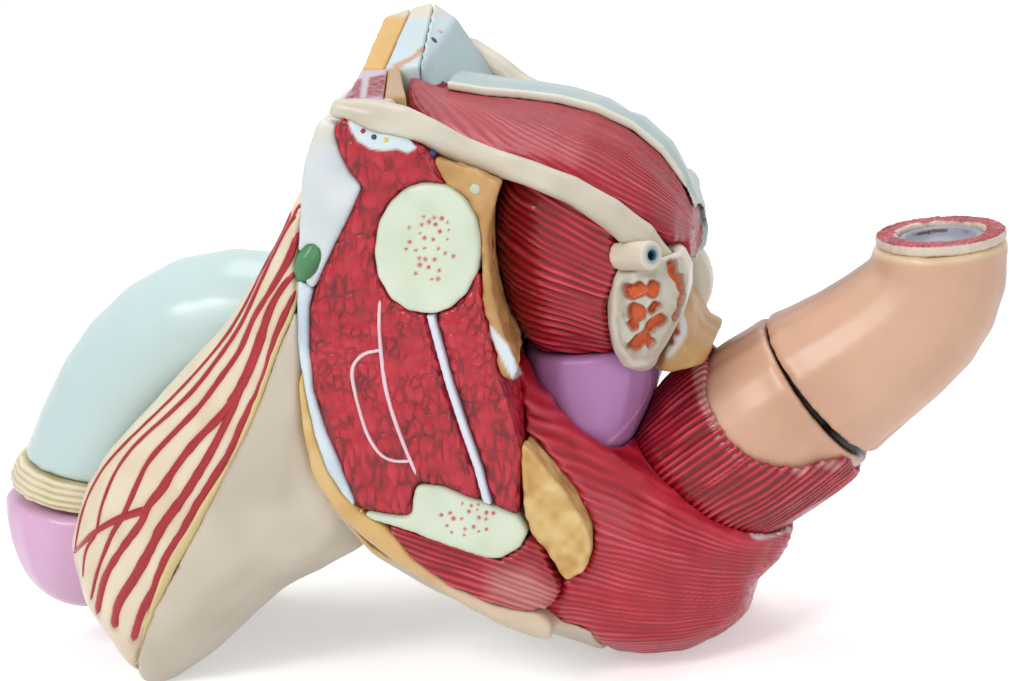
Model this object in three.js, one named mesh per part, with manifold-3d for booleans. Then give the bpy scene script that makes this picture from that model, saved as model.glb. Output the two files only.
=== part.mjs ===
// Life-size teaching model of the male pelvic organs, painted PVC, in millimetres.
// +X points to the back of the body, -Y to its left side (the side with the nearer cut face), +Z up.
// It stands on the two scrotal sacs and on the pelvic floor. The bladder block lifts out, and the
// upper rectum slides off its two pins.
import * as THREE from 'three';
import { mergeVertices } from 'three/addons/utils/BufferGeometryUtils.js';
import Module from 'manifold-3d';

const wasm = await Module();
wasm.setup();

// Driving dimensions
const GAP = 0.3;                // between two pieces that touch
const SECTION = 42;             // median plane to each cut face
const DRAWN_SECTION = 42;       // the half widths in the rows below are drawn for this section
const WALL_DEPTH = 16;          // thickness of the muscle plate behind a cut face
const BONE_PROUD = 0.4;         // the bones stand this far out of the cut face
const BONE_DEPTH = 13;
const PUBIS = { x: -5.9, z: 101.6, width: 22.4, height: 28.4, tilt: -0.24 };
const PUBIS_BAR = { width: 15, height: 20 };
const SYMPHYSIS = 3;            // thickness of the cartilage disc between the pubic bones
const SEPTUM = { width: 2, depth: 4 };
const SHAFT_RADIUS = 17;
const COLLAR_RADIUS = { top: 17.8, foot: 19.8 };
const COLLAR_RIBS = 3;
const COLLAR_HEIGHT = 6.4;
const RIB_RELIEF = 0.6;
const GLANS_RADIUS = 20.2;
const GLANS_LENGTH = 27.6;
const SKIN = 2.6;               // thickness of the perineal skin
const SKIN_RIM_DEPTH = 17.5;    // its rim beside the cut face
const RECTUM_RADIUS = 19.2;     // at the parting plane
const RECTUM_TOP_RADIUS = 14;   // at the cut ring
const RECTUM_SLEEVE = 1.8;      // muscle around the lower rectum
const LUMEN_RADIUS = 9.4;
const LUMEN_DEPTH = 5;
const RING_HEIGHT = 2.4;
const RING_X = 98.4;            // middle of the cut ring
const RING_LEVEL = 90;
const PARTING = 0.3;            // rectum parting at its upper edge
const PARTING_ANGLE = 0.05;     // it opens towards its lower edge
const RECTUM_PIN = { radius: 1.6, length: 12, spacing: 18 };
const PEG = { radius: 3, length: 14, x: 20, foot: 36 };
const DUCTUS_RADIUS = 2.9;
const URETER_RADIUS = 3.1;
const URETER_BORE = 1.1;
const URETER_LENGTH = 10;
const PERITONEUM = { thickness: 1.4, from: -2.5, to: 22 };  // on the crest and right side of the dome
const LYMPH_NODE_RADIUS = 2.5;
const FLOOR_FRONT = 9;          // the pelvic floor muscle begins here, behind the bones
const SKIN_REAR = 25;           // the perineal skin ends here

const PLUS_Y = new THREE.Vector3(0, 1, 0);
const UP = new THREE.Vector3(0, 0, 1);

// Tools for closed shapes

function welded(geometry) {
  geometry.deleteAttribute('normal');
  geometry.deleteAttribute('uv');
  const merged = mergeVertices(geometry, 1e-4);
  const index = Array.from(merged.index.array);
  const kept = [];
  for (let i = 0; i < index.length; i += 3) {
    const [a, b, c] = index.slice(i, i + 3);
    if (a !== b && b !== c && c !== a) kept.push(a, b, c);
  }
  merged.setIndex(kept);
  return merged;
}

function volume(geometry) {
  const place = geometry.attributes.position;
  const index = geometry.index.array;
  const [a, b, c] = [new THREE.Vector3(), new THREE.Vector3(), new THREE.Vector3()];
  let sum = 0;
  for (let i = 0; i < index.length; i += 3) {
    a.fromBufferAttribute(place, index[i]);
    b.fromBufferAttribute(place, index[i + 1]);
    c.fromBufferAttribute(place, index[i + 2]);
    sum += a.dot(b.cross(c)) / 6;
  }
  return sum;
}

function turnedInsideOut(geometry) {
  const index = geometry.index.array;
  for (let i = 0; i < index.length; i += 3) {
    [index[i + 1], index[i + 2]] = [index[i + 2], index[i + 1]];
  }
  return geometry;
}

// A skin through rings of equal count, closed at both ends
function loft(rings) {
  const count = rings[0].length;
  const points = rings.flat();
  const index = [];
  for (let r = 0; r + 1 < rings.length; r++) {
    for (let i = 0; i < count; i++) {
      const j = (i + 1) % count;
      const [a, b, c, d] = [r * count + i, r * count + j, (r + 1) * count + j, (r + 1) * count + i];
      index.push(a, b, c, a, c, d);
    }
  }
  for (const [ring, flip] of [[0, true], [rings.length - 1, false]]) {
    const centre = new THREE.Vector3();
    for (const point of rings[ring]) centre.addScaledVector(point, 1 / count);
    points.push(centre);
    for (let i = 0; i < count; i++) {
      const [a, b] = [ring * count + i, ring * count + (i + 1) % count];
      index.push(...(flip ? [b, a, points.length - 1] : [a, b, points.length - 1]));
    }
  }
  const geometry = new THREE.BufferGeometry().setFromPoints(points);
  geometry.setIndex(index);
  const closed = welded(geometry);
  return volume(closed) < 0 ? turnedInsideOut(closed) : closed;
}

// A rounded ring: exponent 2 is an ellipse, larger values are boxier
function ring(centre, across, along, exponent, sides) {
  const points = [];
  for (let i = 0; i < sides; i++) {
    const angle = (2 * Math.PI * (i + 0.5)) / sides;
    const [c, s] = [Math.cos(angle), Math.sin(angle)];
    points.push(centre.clone()
      .addScaledVector(across, Math.sign(c) * Math.abs(c) ** (2 / exponent))
      .addScaledVector(along, Math.sign(s) * Math.abs(s) ** (2 / exponent)));
  }
  return points;
}

// Rows of numbers, read smoothly between the given ones
function smoothRows(rows, steps) {
  const out = [];
  for (let step = 0; step <= steps; step++) {
    const place = (step / steps) * (rows.length - 1);
    const i = Math.min(Math.floor(place), rows.length - 2);
    const t = place - i;
    out.push(rows[i].map((_, k) => {
      const before = rows[Math.max(i - 1, 0)][k];
      const [from, to] = [rows[i][k], rows[i + 1][k]];
      const after = rows[Math.min(i + 2, rows.length - 1)][k];
      const [m0, m1] = [(to - before) / 2, (after - from) / 2];
      const [t2, t3] = [t * t, t * t * t];
      return (2 * t3 - 3 * t2 + 1) * from + (t3 - 2 * t2 + t) * m0
        + (3 * t2 - 2 * t3) * to + (t3 - t2) * m1;
    }));
  }
  return out;
}

// A limb in the median plane; rows hold x, z, half height and half width
function limb(rows, steps, sides, exponent = 2) {
  const fine = smoothRows(rows, steps);
  return loft(fine.map(([x, z, high, wide], i) => {
    const [x0, z0] = fine[Math.max(i - 1, 0)];
    const [x1, z1] = fine[Math.min(i + 1, fine.length - 1)];
    const normal = new THREE.Vector3(z0 - z1, 0, x1 - x0).normalize();
    return ring(new THREE.Vector3(x, 0, z), normal.multiplyScalar(high),
      PLUS_Y.clone().multiplyScalar(wide), exponent, sides);
  }));
}

// Stacked level rings; rows hold z, x from, x to, y from and y to
function levels(rows, steps, sides, exponent) {
  return loft(smoothRows(rows, steps).map(([z, x0, x1, y0, y1]) => ring(
    new THREE.Vector3((x0 + x1) / 2, (y0 + y1) / 2, z),
    new THREE.Vector3((x1 - x0) / 2, 0, 0), new THREE.Vector3(0, (y1 - y0) / 2, 0), exponent, sides)));
}

// A round cord through points in space; rows hold x, y, z and radius
function cord(rows, steps, sides) {
  const fine = smoothRows(rows, steps);
  return loft(fine.map(([x, y, z, radius], i) => {
    const from = fine[Math.max(i - 1, 0)];
    const to = fine[Math.min(i + 1, fine.length - 1)];
    const tangent = new THREE.Vector3(to[0] - from[0], to[1] - from[1], to[2] - from[2]).normalize();
    const side = new THREE.Vector3().crossVectors(tangent, UP).normalize();
    const rise = new THREE.Vector3().crossVectors(side, tangent);
    return ring(
      new THREE.Vector3(x, y, z), side.multiplyScalar(radius), rise.multiplyScalar(radius), 2, sides);
  }));
}

// A plate cut to an outline in x and z, from y0 to y1
function plate(outline, y0, y1) {
  const shape = new THREE.Shape(outline.map(([x, z]) => new THREE.Vector2(x, z)));
  const geometry = new THREE.ExtrudeGeometry(shape, { depth: y1 - y0, bevelEnabled: false });
  geometry.rotateX(Math.PI / 2);
  geometry.translate(0, y1, 0);
  return welded(geometry);
}

// A straight round pin or bore from one point along a direction
function rod(start, direction, radius, length, sides = 12) {
  const geometry = new THREE.CylinderGeometry(radius, radius, length, sides);
  geometry.translate(0, length / 2, 0);
  const turn = new THREE.Quaternion().setFromUnitVectors(PLUS_Y, direction.clone().normalize());
  geometry.applyQuaternion(turn);
  geometry.translate(start.x, start.y, start.z);
  return welded(geometry);
}

function mirrored(geometry) {
  return turnedInsideOut(geometry.clone().scale(1, -1, 1));
}

// A shape drawn for DRAWN_SECTION, as wide as SECTION asks
function widened(geometry) {
  return geometry.scale(1, SECTION / DRAWN_SECTION, 1);
}

// The same shape with every face moved out by the given distance
function grown(geometry, by = GAP) {
  const place = geometry.attributes.position;
  const index = geometry.index.array;
  const normals = Array.from({ length: place.count }, () => []);
  const corner = [0, 1, 2].map(() => new THREE.Vector3());
  for (let i = 0; i < index.length; i += 3) {
    corner.forEach((p, k) => p.fromBufferAttribute(place, index[i + k]));
    const face = new THREE.Triangle(...corner).getNormal(new THREE.Vector3());
    for (let k = 0; k < 3; k++) {
      const [p, q, r] = [corner[k], corner[(k + 1) % 3], corner[(k + 2) % 3]];
      const angle = q.clone().sub(p).angleTo(r.clone().sub(p));
      normals[index[i + k]].push([face, angle]);
    }
  }
  const out = geometry.clone();
  for (let v = 0; v < place.count; v++) {
    const mean = new THREE.Vector3();
    for (const [face, angle] of normals[v]) mean.addScaledVector(face, angle);
    mean.normalize();
    const least = Math.max(0.5, Math.min(...normals[v].map(([face]) => face.dot(mean))));
    mean.multiplyScalar(by / least);
    mean.add(new THREE.Vector3().fromBufferAttribute(place, v));
    out.attributes.position.setXYZ(v, mean.x, mean.y, mean.z);
  }
  return out;
}

function manifold(geometry) {
  return new wasm.Manifold(new wasm.Mesh({
    numProp: 3,
    vertProperties: new Float32Array(geometry.attributes.position.array),
    triVerts: new Uint32Array(geometry.index.array),
  }));
}

// Removes the needles that cuts leave: edges shorter than SHORT are closed up, and the long side of a
// triangle lower than THIN is turned, so that the surface moves by less than either value
const SHORT = 0.45;
const THIN = 0.02;

function normalOf(points, [a, b, c]) {
  const [first, second] = [b, c].map((v) => points[v].clone().sub(points[a]));
  return first.cross(second);
}

function heightOf(points, face) {
  const sides = [0, 1, 2].map((k) => points[face[k]].distanceTo(points[face[(k + 1) % 3]]));
  return normalOf(points, face).length() / Math.max(...sides, 1e-9);
}

function facesByVertex(faces) {
  const around = new Map();
  faces.forEach((face, i) => {
    for (const v of face) {
      if (!around.has(v)) around.set(v, []);
      around.get(v).push(i);
    }
  });
  return around;
}

function neighbours(faces, around, v) {
  return new Set(around.get(v).flatMap((i) => faces[i]).filter((w) => w !== v));
}

function closeShortEdges(points, faces) {
  const around = facesByVertex(faces);
  const touched = new Set();
  const moved = new Map();
  const short = [];
  for (const face of faces) {
    for (let k = 0; k < 3; k++) {
      const [a, b] = [face[k], face[(k + 1) % 3]];
      const length = points[a].distanceTo(points[b]);
      if (a < b && length < SHORT) short.push([length, a, b]);
    }
  }
  short.sort((p, q) => p[0] - q[0]);
  for (const [, a, b] of short) {
    const ring = [...neighbours(faces, around, a), ...neighbours(faces, around, b)];
    if (ring.some((v) => touched.has(v))) continue;
    const common = new Set(ring.filter((v, i) => ring.indexOf(v) !== i));
    if (common.size !== 2) continue;
    const folds = around.get(b).some((i) => {
      if (faces[i].includes(a)) return false;
      const before = normalOf(points, faces[i]);
      const after = normalOf(points, faces[i].map((v) => (v === b ? a : v)));
      const least = 0.5 * before.length() * after.length();
      return heightOf(points, faces[i]) > THIN && before.dot(after) < least;
    });
    if (folds) continue;
    ring.forEach((v) => touched.add(v));
    moved.set(b, a);
  }
  return faces.map((face) => face.map((v) => moved.get(v) ?? v))
    .filter(([a, b, c]) => a !== b && b !== c && c !== a);
}

function turnLongSides(points, faces) {
  const around = facesByVertex(faces);
  const touched = new Set();
  const out = faces.map((face) => [...face]);
  faces.forEach((face, i) => {
    const height = heightOf(points, face);
    if (height > THIN) return;
    const sides = [0, 1, 2].map((k) => points[face[k]].distanceTo(points[face[(k + 1) % 3]]));
    const k = sides.indexOf(Math.max(...sides));
    const [a, b, c] = [face[k], face[(k + 1) % 3], face[(k + 2) % 3]];
    const j = around.get(a).find((n) => n !== i && faces[n].includes(b));
    const d = faces[j].find((v) => v !== a && v !== b);
    if ([a, b, c, d].some((v) => touched.has(v)) || neighbours(faces, around, c).has(d)) return;
    const [one, two] = [[a, d, c], [d, b, c]];
    if (Math.min(heightOf(points, one), heightOf(points, two)) < height * 2) return;
    const old = normalOf(points, faces[j]);
    if (Math.min(normalOf(points, one).dot(old), normalOf(points, two).dot(old)) < 0) return;
    [out[i], out[j]] = [one, two];
    [a, b, c, d].forEach((v) => touched.add(v));
  });
  return out;
}

function withoutNeedles(geometry) {
  const place = geometry.attributes.position;
  const points = Array.from({ length: place.count }, (_, i) => (
    new THREE.Vector3().fromBufferAttribute(place, i)));
  let faces = [];
  for (let i = 0; i < geometry.index.count; i += 3) {
    faces.push([0, 1, 2].map((k) => geometry.index.getX(i + k)));
  }
  for (let pass = 0; pass < 14; pass++) faces = turnLongSides(points, closeShortEdges(points, faces));
  const out = new THREE.BufferGeometry().setFromPoints(points);
  out.setIndex(faces.flat());
  return out;
}

// The largest closed body of a cut result, without the crumbs that a cut leaves beside it
function mainBody(cutSolid) {
  const mesh = cutSolid.getMesh();
  const geometry = new THREE.BufferGeometry();
  const points = [];
  for (let i = 0; i < mesh.vertProperties.length; i += mesh.numProp) {
    points.push(new THREE.Vector3().fromArray(mesh.vertProperties, i));
  }
  geometry.setFromPoints(points);
  geometry.setIndex(Array.from(mesh.triVerts));
  const merged = withoutNeedles(welded(geometry));
  const index = merged.index.array;
  const faceCount = index.length / 3;
  const parent = Array.from({ length: faceCount }, (_, i) => i);
  const root = (i) => {
    while (parent[i] !== i) i = parent[i];
    return i;
  };
  const facesAtEdge = new Map();
  for (let i = 0; i < faceCount; i++) {
    for (let k = 0; k < 3; k++) {
      const [a, b] = [index[3 * i + k], index[3 * i + (k + 1) % 3]];
      const edge = `${Math.min(a, b)} ${Math.max(a, b)}`;
      facesAtEdge.set(edge, [...(facesAtEdge.get(edge) ?? []), i]);
    }
  }
  for (const beside of facesAtEdge.values()) {
    if (beside.length === 2) parent[root(beside[0])] = root(beside[1]);
  }
  const bodies = new Map();
  for (let i = 0; i < faceCount; i++) {
    const key = root(i);
    if (!bodies.has(key)) bodies.set(key, []);
    bodies.get(key).push(index[3 * i], index[3 * i + 1], index[3 * i + 2]);
  }
  const shapes = [...bodies.values()].map((triangles) => {
    const shape = merged.clone();
    shape.setIndex(triangles);
    return shape;
  });
  shapes.sort((a, b) => volume(b) - volume(a));
  return mergeVertices(shapes[0].toNonIndexed(), 1e-5);
}

function cut(geometry, tools, gap = GAP) {
  let solid = manifold(geometry);
  for (const tool of tools) {
    solid = solid.subtract(manifold(tool));
    if (gap) solid = solid.subtract(manifold(grown(tool, gap)));
  }
  return mainBody(solid);
}

function within(geometry, region) {
  return mainBody(manifold(geometry).intersect(manifold(region)));
}

function joined(geometry, ...others) {
  let solid = manifold(geometry);
  for (const other of others) solid = solid.add(manifold(other));
  return mainBody(solid);
}

const FAR = 200;
const BELOW_FLOOR = plate([[-FAR, -FAR], [FAR, -FAR], [FAR, 0], [-FAR, 0]], -FAR, FAR);

// Pieces are collected here: node name to geometry, colour, roughness and the group that carries it
const model = new THREE.Group();
const bladderBlock = new THREE.Group();
const upperRectum = new THREE.Group();
model.add(bladderBlock, upperRectum);

function addPiece(name, geometry, color, roughness, group = model) {
  const shown = geometry.toNonIndexed();
  shown.computeVertexNormals();
  const mesh = new THREE.Mesh(shown, new THREE.MeshStandardMaterial({ color, roughness, metalness: 0 }));
  mesh.name = name;
  group.add(mesh);
}

function addPair(name, leftGeometry, color, roughness, group = model) {
  addPiece(`${name}_left`, leftGeometry, color, roughness, group);
  addPiece(`${name}_right`, mirrored(leftGeometry), color, roughness, group);
}

// Bones: an oval pubic body at each cut face, carried by a bar to the disc in the median plane
function pubicBone() {
  const turn = (width, height) => [
    new THREE.Vector3(Math.cos(PUBIS.tilt), 0, Math.sin(PUBIS.tilt)).multiplyScalar(width / 2),
    new THREE.Vector3(-Math.sin(PUBIS.tilt), 0, Math.cos(PUBIS.tilt)).multiplyScalar(height / 2),
  ];
  const station = (y, width, height) => (
    ring(new THREE.Vector3(PUBIS.x, y, PUBIS.z), ...turn(width, height), 2.1, 16));
  const inner = -SYMPHYSIS / 2 - GAP;
  return loft([
    station(-SECTION - BONE_PROUD, PUBIS.width, PUBIS.height),
    station(-SECTION + BONE_DEPTH * 0.6, PUBIS.width, PUBIS.height),
    station(-SECTION + BONE_DEPTH, PUBIS_BAR.width, PUBIS_BAR.height),
    station(inner, PUBIS_BAR.width, PUBIS_BAR.height),
  ]);
}
const pubis = pubicBone();
const symphysis = loft([-1, 1].map((side) => ring(
  new THREE.Vector3(PUBIS.x, side * SYMPHYSIS / 2, PUBIS.z),
  new THREE.Vector3(PUBIS_BAR.width / 2, 0, 0), new THREE.Vector3(0, 0, PUBIS_BAR.height / 2), 2.2, 16)));

const ISCHIUM_OUTLINE = [
  [-27.3, 44.4], [-22.4, 43.1], [-18, 42.4], [-15.2, 42.4], [-14.8, 46.3], [-13.6, 49.4], [-8.5, 49],
  [-3.3, 46.4], [4.1, 43.4], [8, 41.4], [9.4, 38], [7.7, 34.8], [3.1, 32.4], [-0.6, 32.9], [-9.7, 36.4],
  [-18.2, 40], [-23.6, 41.8],
];
const ischium = plate(ISCHIUM_OUTLINE, -SECTION - BONE_PROUD, -SECTION + BONE_DEPTH);

// The membrane between the two bones, inlaid in the cut face
const SEPTUM_LINE = [[-7.2, 90], [-5.8, 81.5], [-4.2, 72], [-2, 62], [0.2, 53], [2, 42]];
const septum = plate([
  ...SEPTUM_LINE.map(([x, z]) => [x - SEPTUM.width / 2, z]),
  ...SEPTUM_LINE.map(([x, z]) => [x + SEPTUM.width / 2, z]).reverse(),
], -SECTION - BONE_PROUD / 2, -SECTION + SEPTUM.depth);
const septumSeated = cut(septum, [pubis, ischium]);

// The cut muscle plate on each side of the pelvis
const WALL_OUTLINE = [
  [-23.5, 127], [-22.6, 129.3], [-21.1, 130.1], [-18.2, 128.7], [-14.9, 126.8], [-10.4, 125.6],
  [-6.4, 123.8], [-3.4, 121.2], [-1.5, 116], [2.5, 110.7], [4.9, 105.2],
  [5.1, 98.3], [4.3, 90.1], [5.2, 83.5], [6.5, 74.6], [8.5, 65.7], [9.8, 56.7], [8.9, 50.1], [8, 42],
  [3, 40], [-6, 42.4], [-14.6, 41], [-18.5, 41.2], [-23, 42.4], [-27.3, 44.9],
  [-30, 54.7], [-32.4, 62.7], [-34.1, 71.8], [-34, 80.7], [-33, 89.5], [-30.8, 94.9], [-27, 101.3],
  [-21.8, 109.7], [-18.5, 115.6], [-20.8, 118.3], [-22.5, 122.7],
];
const wall = cut(plate(WALL_OUTLINE, -SECTION, -SECTION + WALL_DEPTH), [pubis, ischium, septumSeated]);

// Penis: shaft, ribbed collar of the foreskin, and glans
const SHAFT = [
  [-33, 66, 0.92], [-48, 73.5, 1], [-62, 76.4, 1], [-74, 73.8, 1], [-84, 66.5, 1.01], [-92.5, 55.5, 1.02],
  [-101, 40.5, 1],
];
const PENIS_SIDES = 16;
const shaftRaw = limb(
  SHAFT.map(([x, z, s]) => [x, z, s * SHAFT_RADIUS, SHAFT_RADIUS]), 9, PENIS_SIDES);
const TIP_DIRECTION = new THREE.Vector2(-0.212, -0.977).normalize();
const collarStart = new THREE.Vector2(-100.2, 44.9).addScaledVector(TIP_DIRECTION, GAP);
const glansStart = collarStart.clone().addScaledVector(TIP_DIRECTION, COLLAR_HEIGHT + GAP);

function ribbedCollar() {
  const rows = [];
  for (let i = 0; i <= COLLAR_RIBS * 2; i++) {
    const at = collarStart.clone().addScaledVector(TIP_DIRECTION, (COLLAR_HEIGHT * i) / (COLLAR_RIBS * 2));
    const cone = COLLAR_RADIUS.top + ((COLLAR_RADIUS.foot - COLLAR_RADIUS.top) * i) / (COLLAR_RIBS * 2);
    const radius = i % 2 ? cone : cone - RIB_RELIEF;
    rows.push([at.x, at.y, radius, radius]);
  }
  return limb(rows, rows.length - 1, PENIS_SIDES);
}
const collar = ribbedCollar();
const shaft = cut(shaftRaw, [collar]);
const GLANS_PROFILE = [
  [0.06, 0.97], [0.14, 1], [0.32, 0.98], [0.52, 0.91], [0.72, 0.8], [0.88, 0.64], [0.98, 0.42],
];
const GLANS_BEND = 2;           // its tip lies this far behind its axis
const glansRaw = limb(GLANS_PROFILE.map(([t, s]) => {
  const at = glansStart.clone().addScaledVector(TIP_DIRECTION, t * GLANS_LENGTH);
  return [at.x + GLANS_BEND * t, at.y, s * GLANS_RADIUS, s * GLANS_RADIUS];
}), 7, PENIS_SIDES);
const glans = cut(glansRaw, [collar]);

// The room that the sacs leave for them, in fewer and wider faces
const ROOM = { spare: 1.5, sides: 10, start: [-31, 65, 0.92] };
const shaftRoom = limb([ROOM.start, ...SHAFT.slice(1)].map(([x, z, s]) => (
  [x, z, s * SHAFT_RADIUS + ROOM.spare, SHAFT_RADIUS + ROOM.spare])), 6, ROOM.sides);
const tipRoom = limb([-1, 1, 12, 22, 34].map((along) => {
  const at = collarStart.clone().addScaledVector(TIP_DIRECTION, along);
  const radius = (along > 30 ? 0.6 : 1) * GLANS_RADIUS + ROOM.spare;
  return [at.x, at.y, radius, radius];
}), 4, ROOM.sides);

// Rectum: its axis rises to the parting plane, and beyond it bends upright to the cut ring
const partingPoint = new THREE.Vector3(69, 0, 55.7);
const rectumAxis = new THREE.Vector3(0.836, 0, 0.549).normalize();
const rectumNormal = new THREE.Vector3(-rectumAxis.z, 0, rectumAxis.x);
const alongRectum = (distance) => {
  const at = partingPoint.clone().addScaledVector(rectumAxis, distance);
  return [at.x, at.z];
};
const LOWER_RECTUM = [[-42, 0.84], [-30, 1], [-15, 1.05], [0, 1]];
const UPPER_RECTUM = [[69, 55.7, 1], [80.6, 63, 0.9], [92, 71.8, 0.84], [97.4, 81, 0.78]];
const lowerRectumTube = (extra) => limb(LOWER_RECTUM.map(([s, scale]) => {
  const radius = scale * RECTUM_RADIUS + extra;
  return [...alongRectum(s), radius, radius];
}), 4, 18);
const pinSites = [-1, 1].map((side) => partingPoint.clone()
  .addScaledVector(rectumNormal, (side * RECTUM_PIN.spacing) / 2)
  .addScaledVector(rectumAxis, -RECTUM_PIN.length / 2));
const rectumPins = pinSites.map((site) => rod(site, rectumAxis, RECTUM_PIN.radius, RECTUM_PIN.length));
const pinBores = pinSites.map((site) => rod(site.clone().addScaledVector(rectumAxis, -GAP),
  rectumAxis, RECTUM_PIN.radius + GAP, RECTUM_PIN.length + 1 + GAP));
const upperRectumSolid = limb([
  ...UPPER_RECTUM.map(([x, z, s]) => [x, z, s * RECTUM_RADIUS, s * RECTUM_RADIUS]),
  [RING_X, RING_LEVEL + RING_HEIGHT, RECTUM_TOP_RADIUS, RECTUM_TOP_RADIUS],
], 8, 18);

function partingTool() {
  const top = partingPoint.clone().addScaledVector(rectumNormal, RECTUM_RADIUS);
  const slope = rectumNormal.clone().applyAxisAngle(PLUS_Y, -PARTING_ANGLE);
  const corner = (point, direction, distance) => {
    const at = point.clone().addScaledVector(direction, distance);
    return [at.x, at.z];
  };
  const opened = top.clone().addScaledVector(rectumAxis, PARTING);
  const before = partingPoint.clone().addScaledVector(rectumAxis, -60);
  return plate([
    corner(partingPoint, rectumNormal, 3 * RECTUM_RADIUS), corner(opened, slope, 12),
    corner(opened, slope, -4 * RECTUM_RADIUS), corner(before, rectumNormal, -60),
    corner(before, rectumNormal, 60),
  ], -60, 60);
}
const ringFoot = RING_LEVEL - RING_HEIGHT;
const lumenTop = new THREE.Vector3(RING_X, 0, ringFoot + 0.1);
const lumenBore = rod(lumenTop, UP.clone().negate(), LUMEN_RADIUS + GAP, LUMEN_DEPTH, 16);
const aboveRing = plate([[70, ringFoot], [130, ringFoot], [130, 120], [70, 120]], -40, 40);
const upperRectumWall = cut(upperRectumSolid, [partingTool(), aboveRing, ...pinBores, lumenBore], 0);
const cutRing = cut(loft([GAP, RING_HEIGHT].map((z) => ring(
  new THREE.Vector3(RING_X, 0, ringFoot + z), new THREE.Vector3(RECTUM_TOP_RADIUS, 0, 0),
  new THREE.Vector3(0, RECTUM_TOP_RADIUS, 0), 2, 20))), [rod(lumenTop, UP, LUMEN_RADIUS + GAP, 4, 16)], 0);
const lumenLining = cut(
  rod(new THREE.Vector3(RING_X, 0, ringFoot - LUMEN_DEPTH + GAP), UP, LUMEN_RADIUS,
    LUMEN_DEPTH + RING_HEIGHT - 1.2, 16),
  [levels([[-3.6, 5.4], [-2.4, 7.2], [-0.6, 8.2]].map(([rise, bowl]) => [
    RING_LEVEL + rise, RING_X - bowl, RING_X + bowl, -bowl, bowl,
  ]), 2, 16, 2)], 0);

// The rounded hull of perineum and pelvic floor; rows: x, half width, bottom, top
const HULL = [
  [-36, 38.6, 40, 62], [-27, 41, 27.5, 58], [-14, 41.6, 17, 58], [0, 41.6, 9.5, 67],
  [7, 41.1, 6.6, 73.5], [12, 40.4, 4.4, 69], [21, 38.2, 1, 58], [30, 35.5, -0.5, 49.8],
  [38, 31.5, -0.5, 43.5], [46, 25, 2.2, 37.5],
  [51, 19.4, 5.8, 34.6], [53.2, 16.8, 13, 33.4], [58.5, 9, 17, 31.8], [61.8, 3, 22, 30],
];
const HULL_SIDES = 16;
const CORE_SIDES = 12;
function hull(lift, sides = HULL_SIDES) {
  return widened(loft(smoothRows(HULL, HULL.length - 1).map(([x, half, low, high]) => ring(
    new THREE.Vector3(x, 0, (low + high) / 2 + lift), new THREE.Vector3(0, half + lift, 0),
    new THREE.Vector3(0, 0, (high - low) / 2), 2.8, sides))));
}
const coreHull = joined(
  hull(SKIN + GAP, CORE_SIDES), plate([[-60, 58], [40, 58], [40, 140], [-60, 140]], -60, 60));

// Pieces of the bladder block
const PROSTATE = [
  [44.5, 17, 25, -12, 12], [47, 14, 28, -19, 19], [52, 11, 31, -23.5, 23.5], [59, 7.6, 34, -25, 25],
  [66, 5.6, 36.5, -25, 25], [71.2, 6.2, 36, -24, 24],
];
const prostateFull = widened(levels(PROSTATE, 6, 16, 2.6));
// The space that the prostate passes through when it is lifted out
const prostateWay = widened(levels([...PROSTATE.slice(0, 5), [92, ...PROSTATE[4].slice(1)]], 6, 16, 2.6));
const BLADDER_BODY = [
  [71.6, 9, 33, -21.5, 21.5], [77, 5.8, 38.5, -26.5, 26.5], [84, 3.4, 42.5, -29, 29],
  [94, 2.4, 44.5, -30, 30], [104, 3.4, 43, -30, 30], [112, 6, 37, -28.5, 28.5], [118, 11, 30, -22, 22],
];
const bladderBodyFull = widened(levels(BLADDER_BODY, 6, 16, 3.4));
// The space that the bladder passes through when it is lifted out
const bladderWay = widened(
  levels([...BLADDER_BODY.slice(0, 4), [130, ...BLADDER_BODY[3].slice(1)]], 5, 16, 3.4));
// Dome rows: x, half width, height of the widest line, top
const DOME = [
  [-15, 8, 129.3, 131.6], [-12, 19, 127.6, 130.4], [-5, 27.5, 124, 127.4], [4, 30.5, 120, 125.8],
  [13, 32, 116.3, 124.6], [22, 32, 112.2, 122.4], [31, 30.5, 107, 118.4], [38, 27.5, 101.4, 112.6],
  [42.8, 22, 96.5, 105.2], [45.4, 13, 92, 98],
];
const DOME_UNDERSIDE = 5;
const DOME_SIDES = 16;
const DOME_CREST = 1.25;        // above 1, the top rises to a blunt crest in the median plane
function domeShape(extra) {
  return widened(loft(smoothRows(DOME, 10).map(([x, half, middle, top]) => {
    const points = [];
    for (let i = 0; i < DOME_SIDES; i++) {
      const angle = (2 * Math.PI * (i + 0.5)) / DOME_SIDES;
      const [c, s] = [Math.cos(angle), Math.sin(angle)];
      const [high, power] = s > 0 ? [top - middle, DOME_CREST] : [-DOME_UNDERSIDE, 0.9];
      points.push(new THREE.Vector3(x, Math.sign(c) * Math.abs(c) ** power * (half + extra),
        middle + Math.abs(s) ** power * (high + Math.sign(s) * extra)));
    }
    return points;
  })));
}
const DUCTUS_PATH = [
  [-23.8, -39, 132.4, 0.6], [-19.5, -39, 131, 1.05], [-15, -38.9, 129.6, 1.35], [-9.8, -38.5, 128.2, 1.32],
  [-4, -36.9, 125.2, 1.1], [2, -34.8, 120.9, 1], [8.5, -33.4, 117.6, 0.95], [16, -32.4, 114.4, 0.97],
  [24, -31.8, 110.4, 1.02], [31.4, -30.5, 104.8, 1.15], [37, -27.4, 98.3, 1.3], [40, -22.5, 91.8, 1.2],
  [41, -16, 85, 1],
];
const ductusRaw = widened(cord(DUCTUS_PATH.map(([x, y, z, s]) => [x, y, z, s * DUCTUS_RADIUS]), 12, 8));
const ductus = cut(ductusRaw, [wall]);
const ureterStart = new THREE.Vector3(32.5, -28.7 * SECTION / DRAWN_SECTION, 95);
const ureterDirection = new THREE.Vector3(7.9, -6.1, 1.2).normalize();
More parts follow.
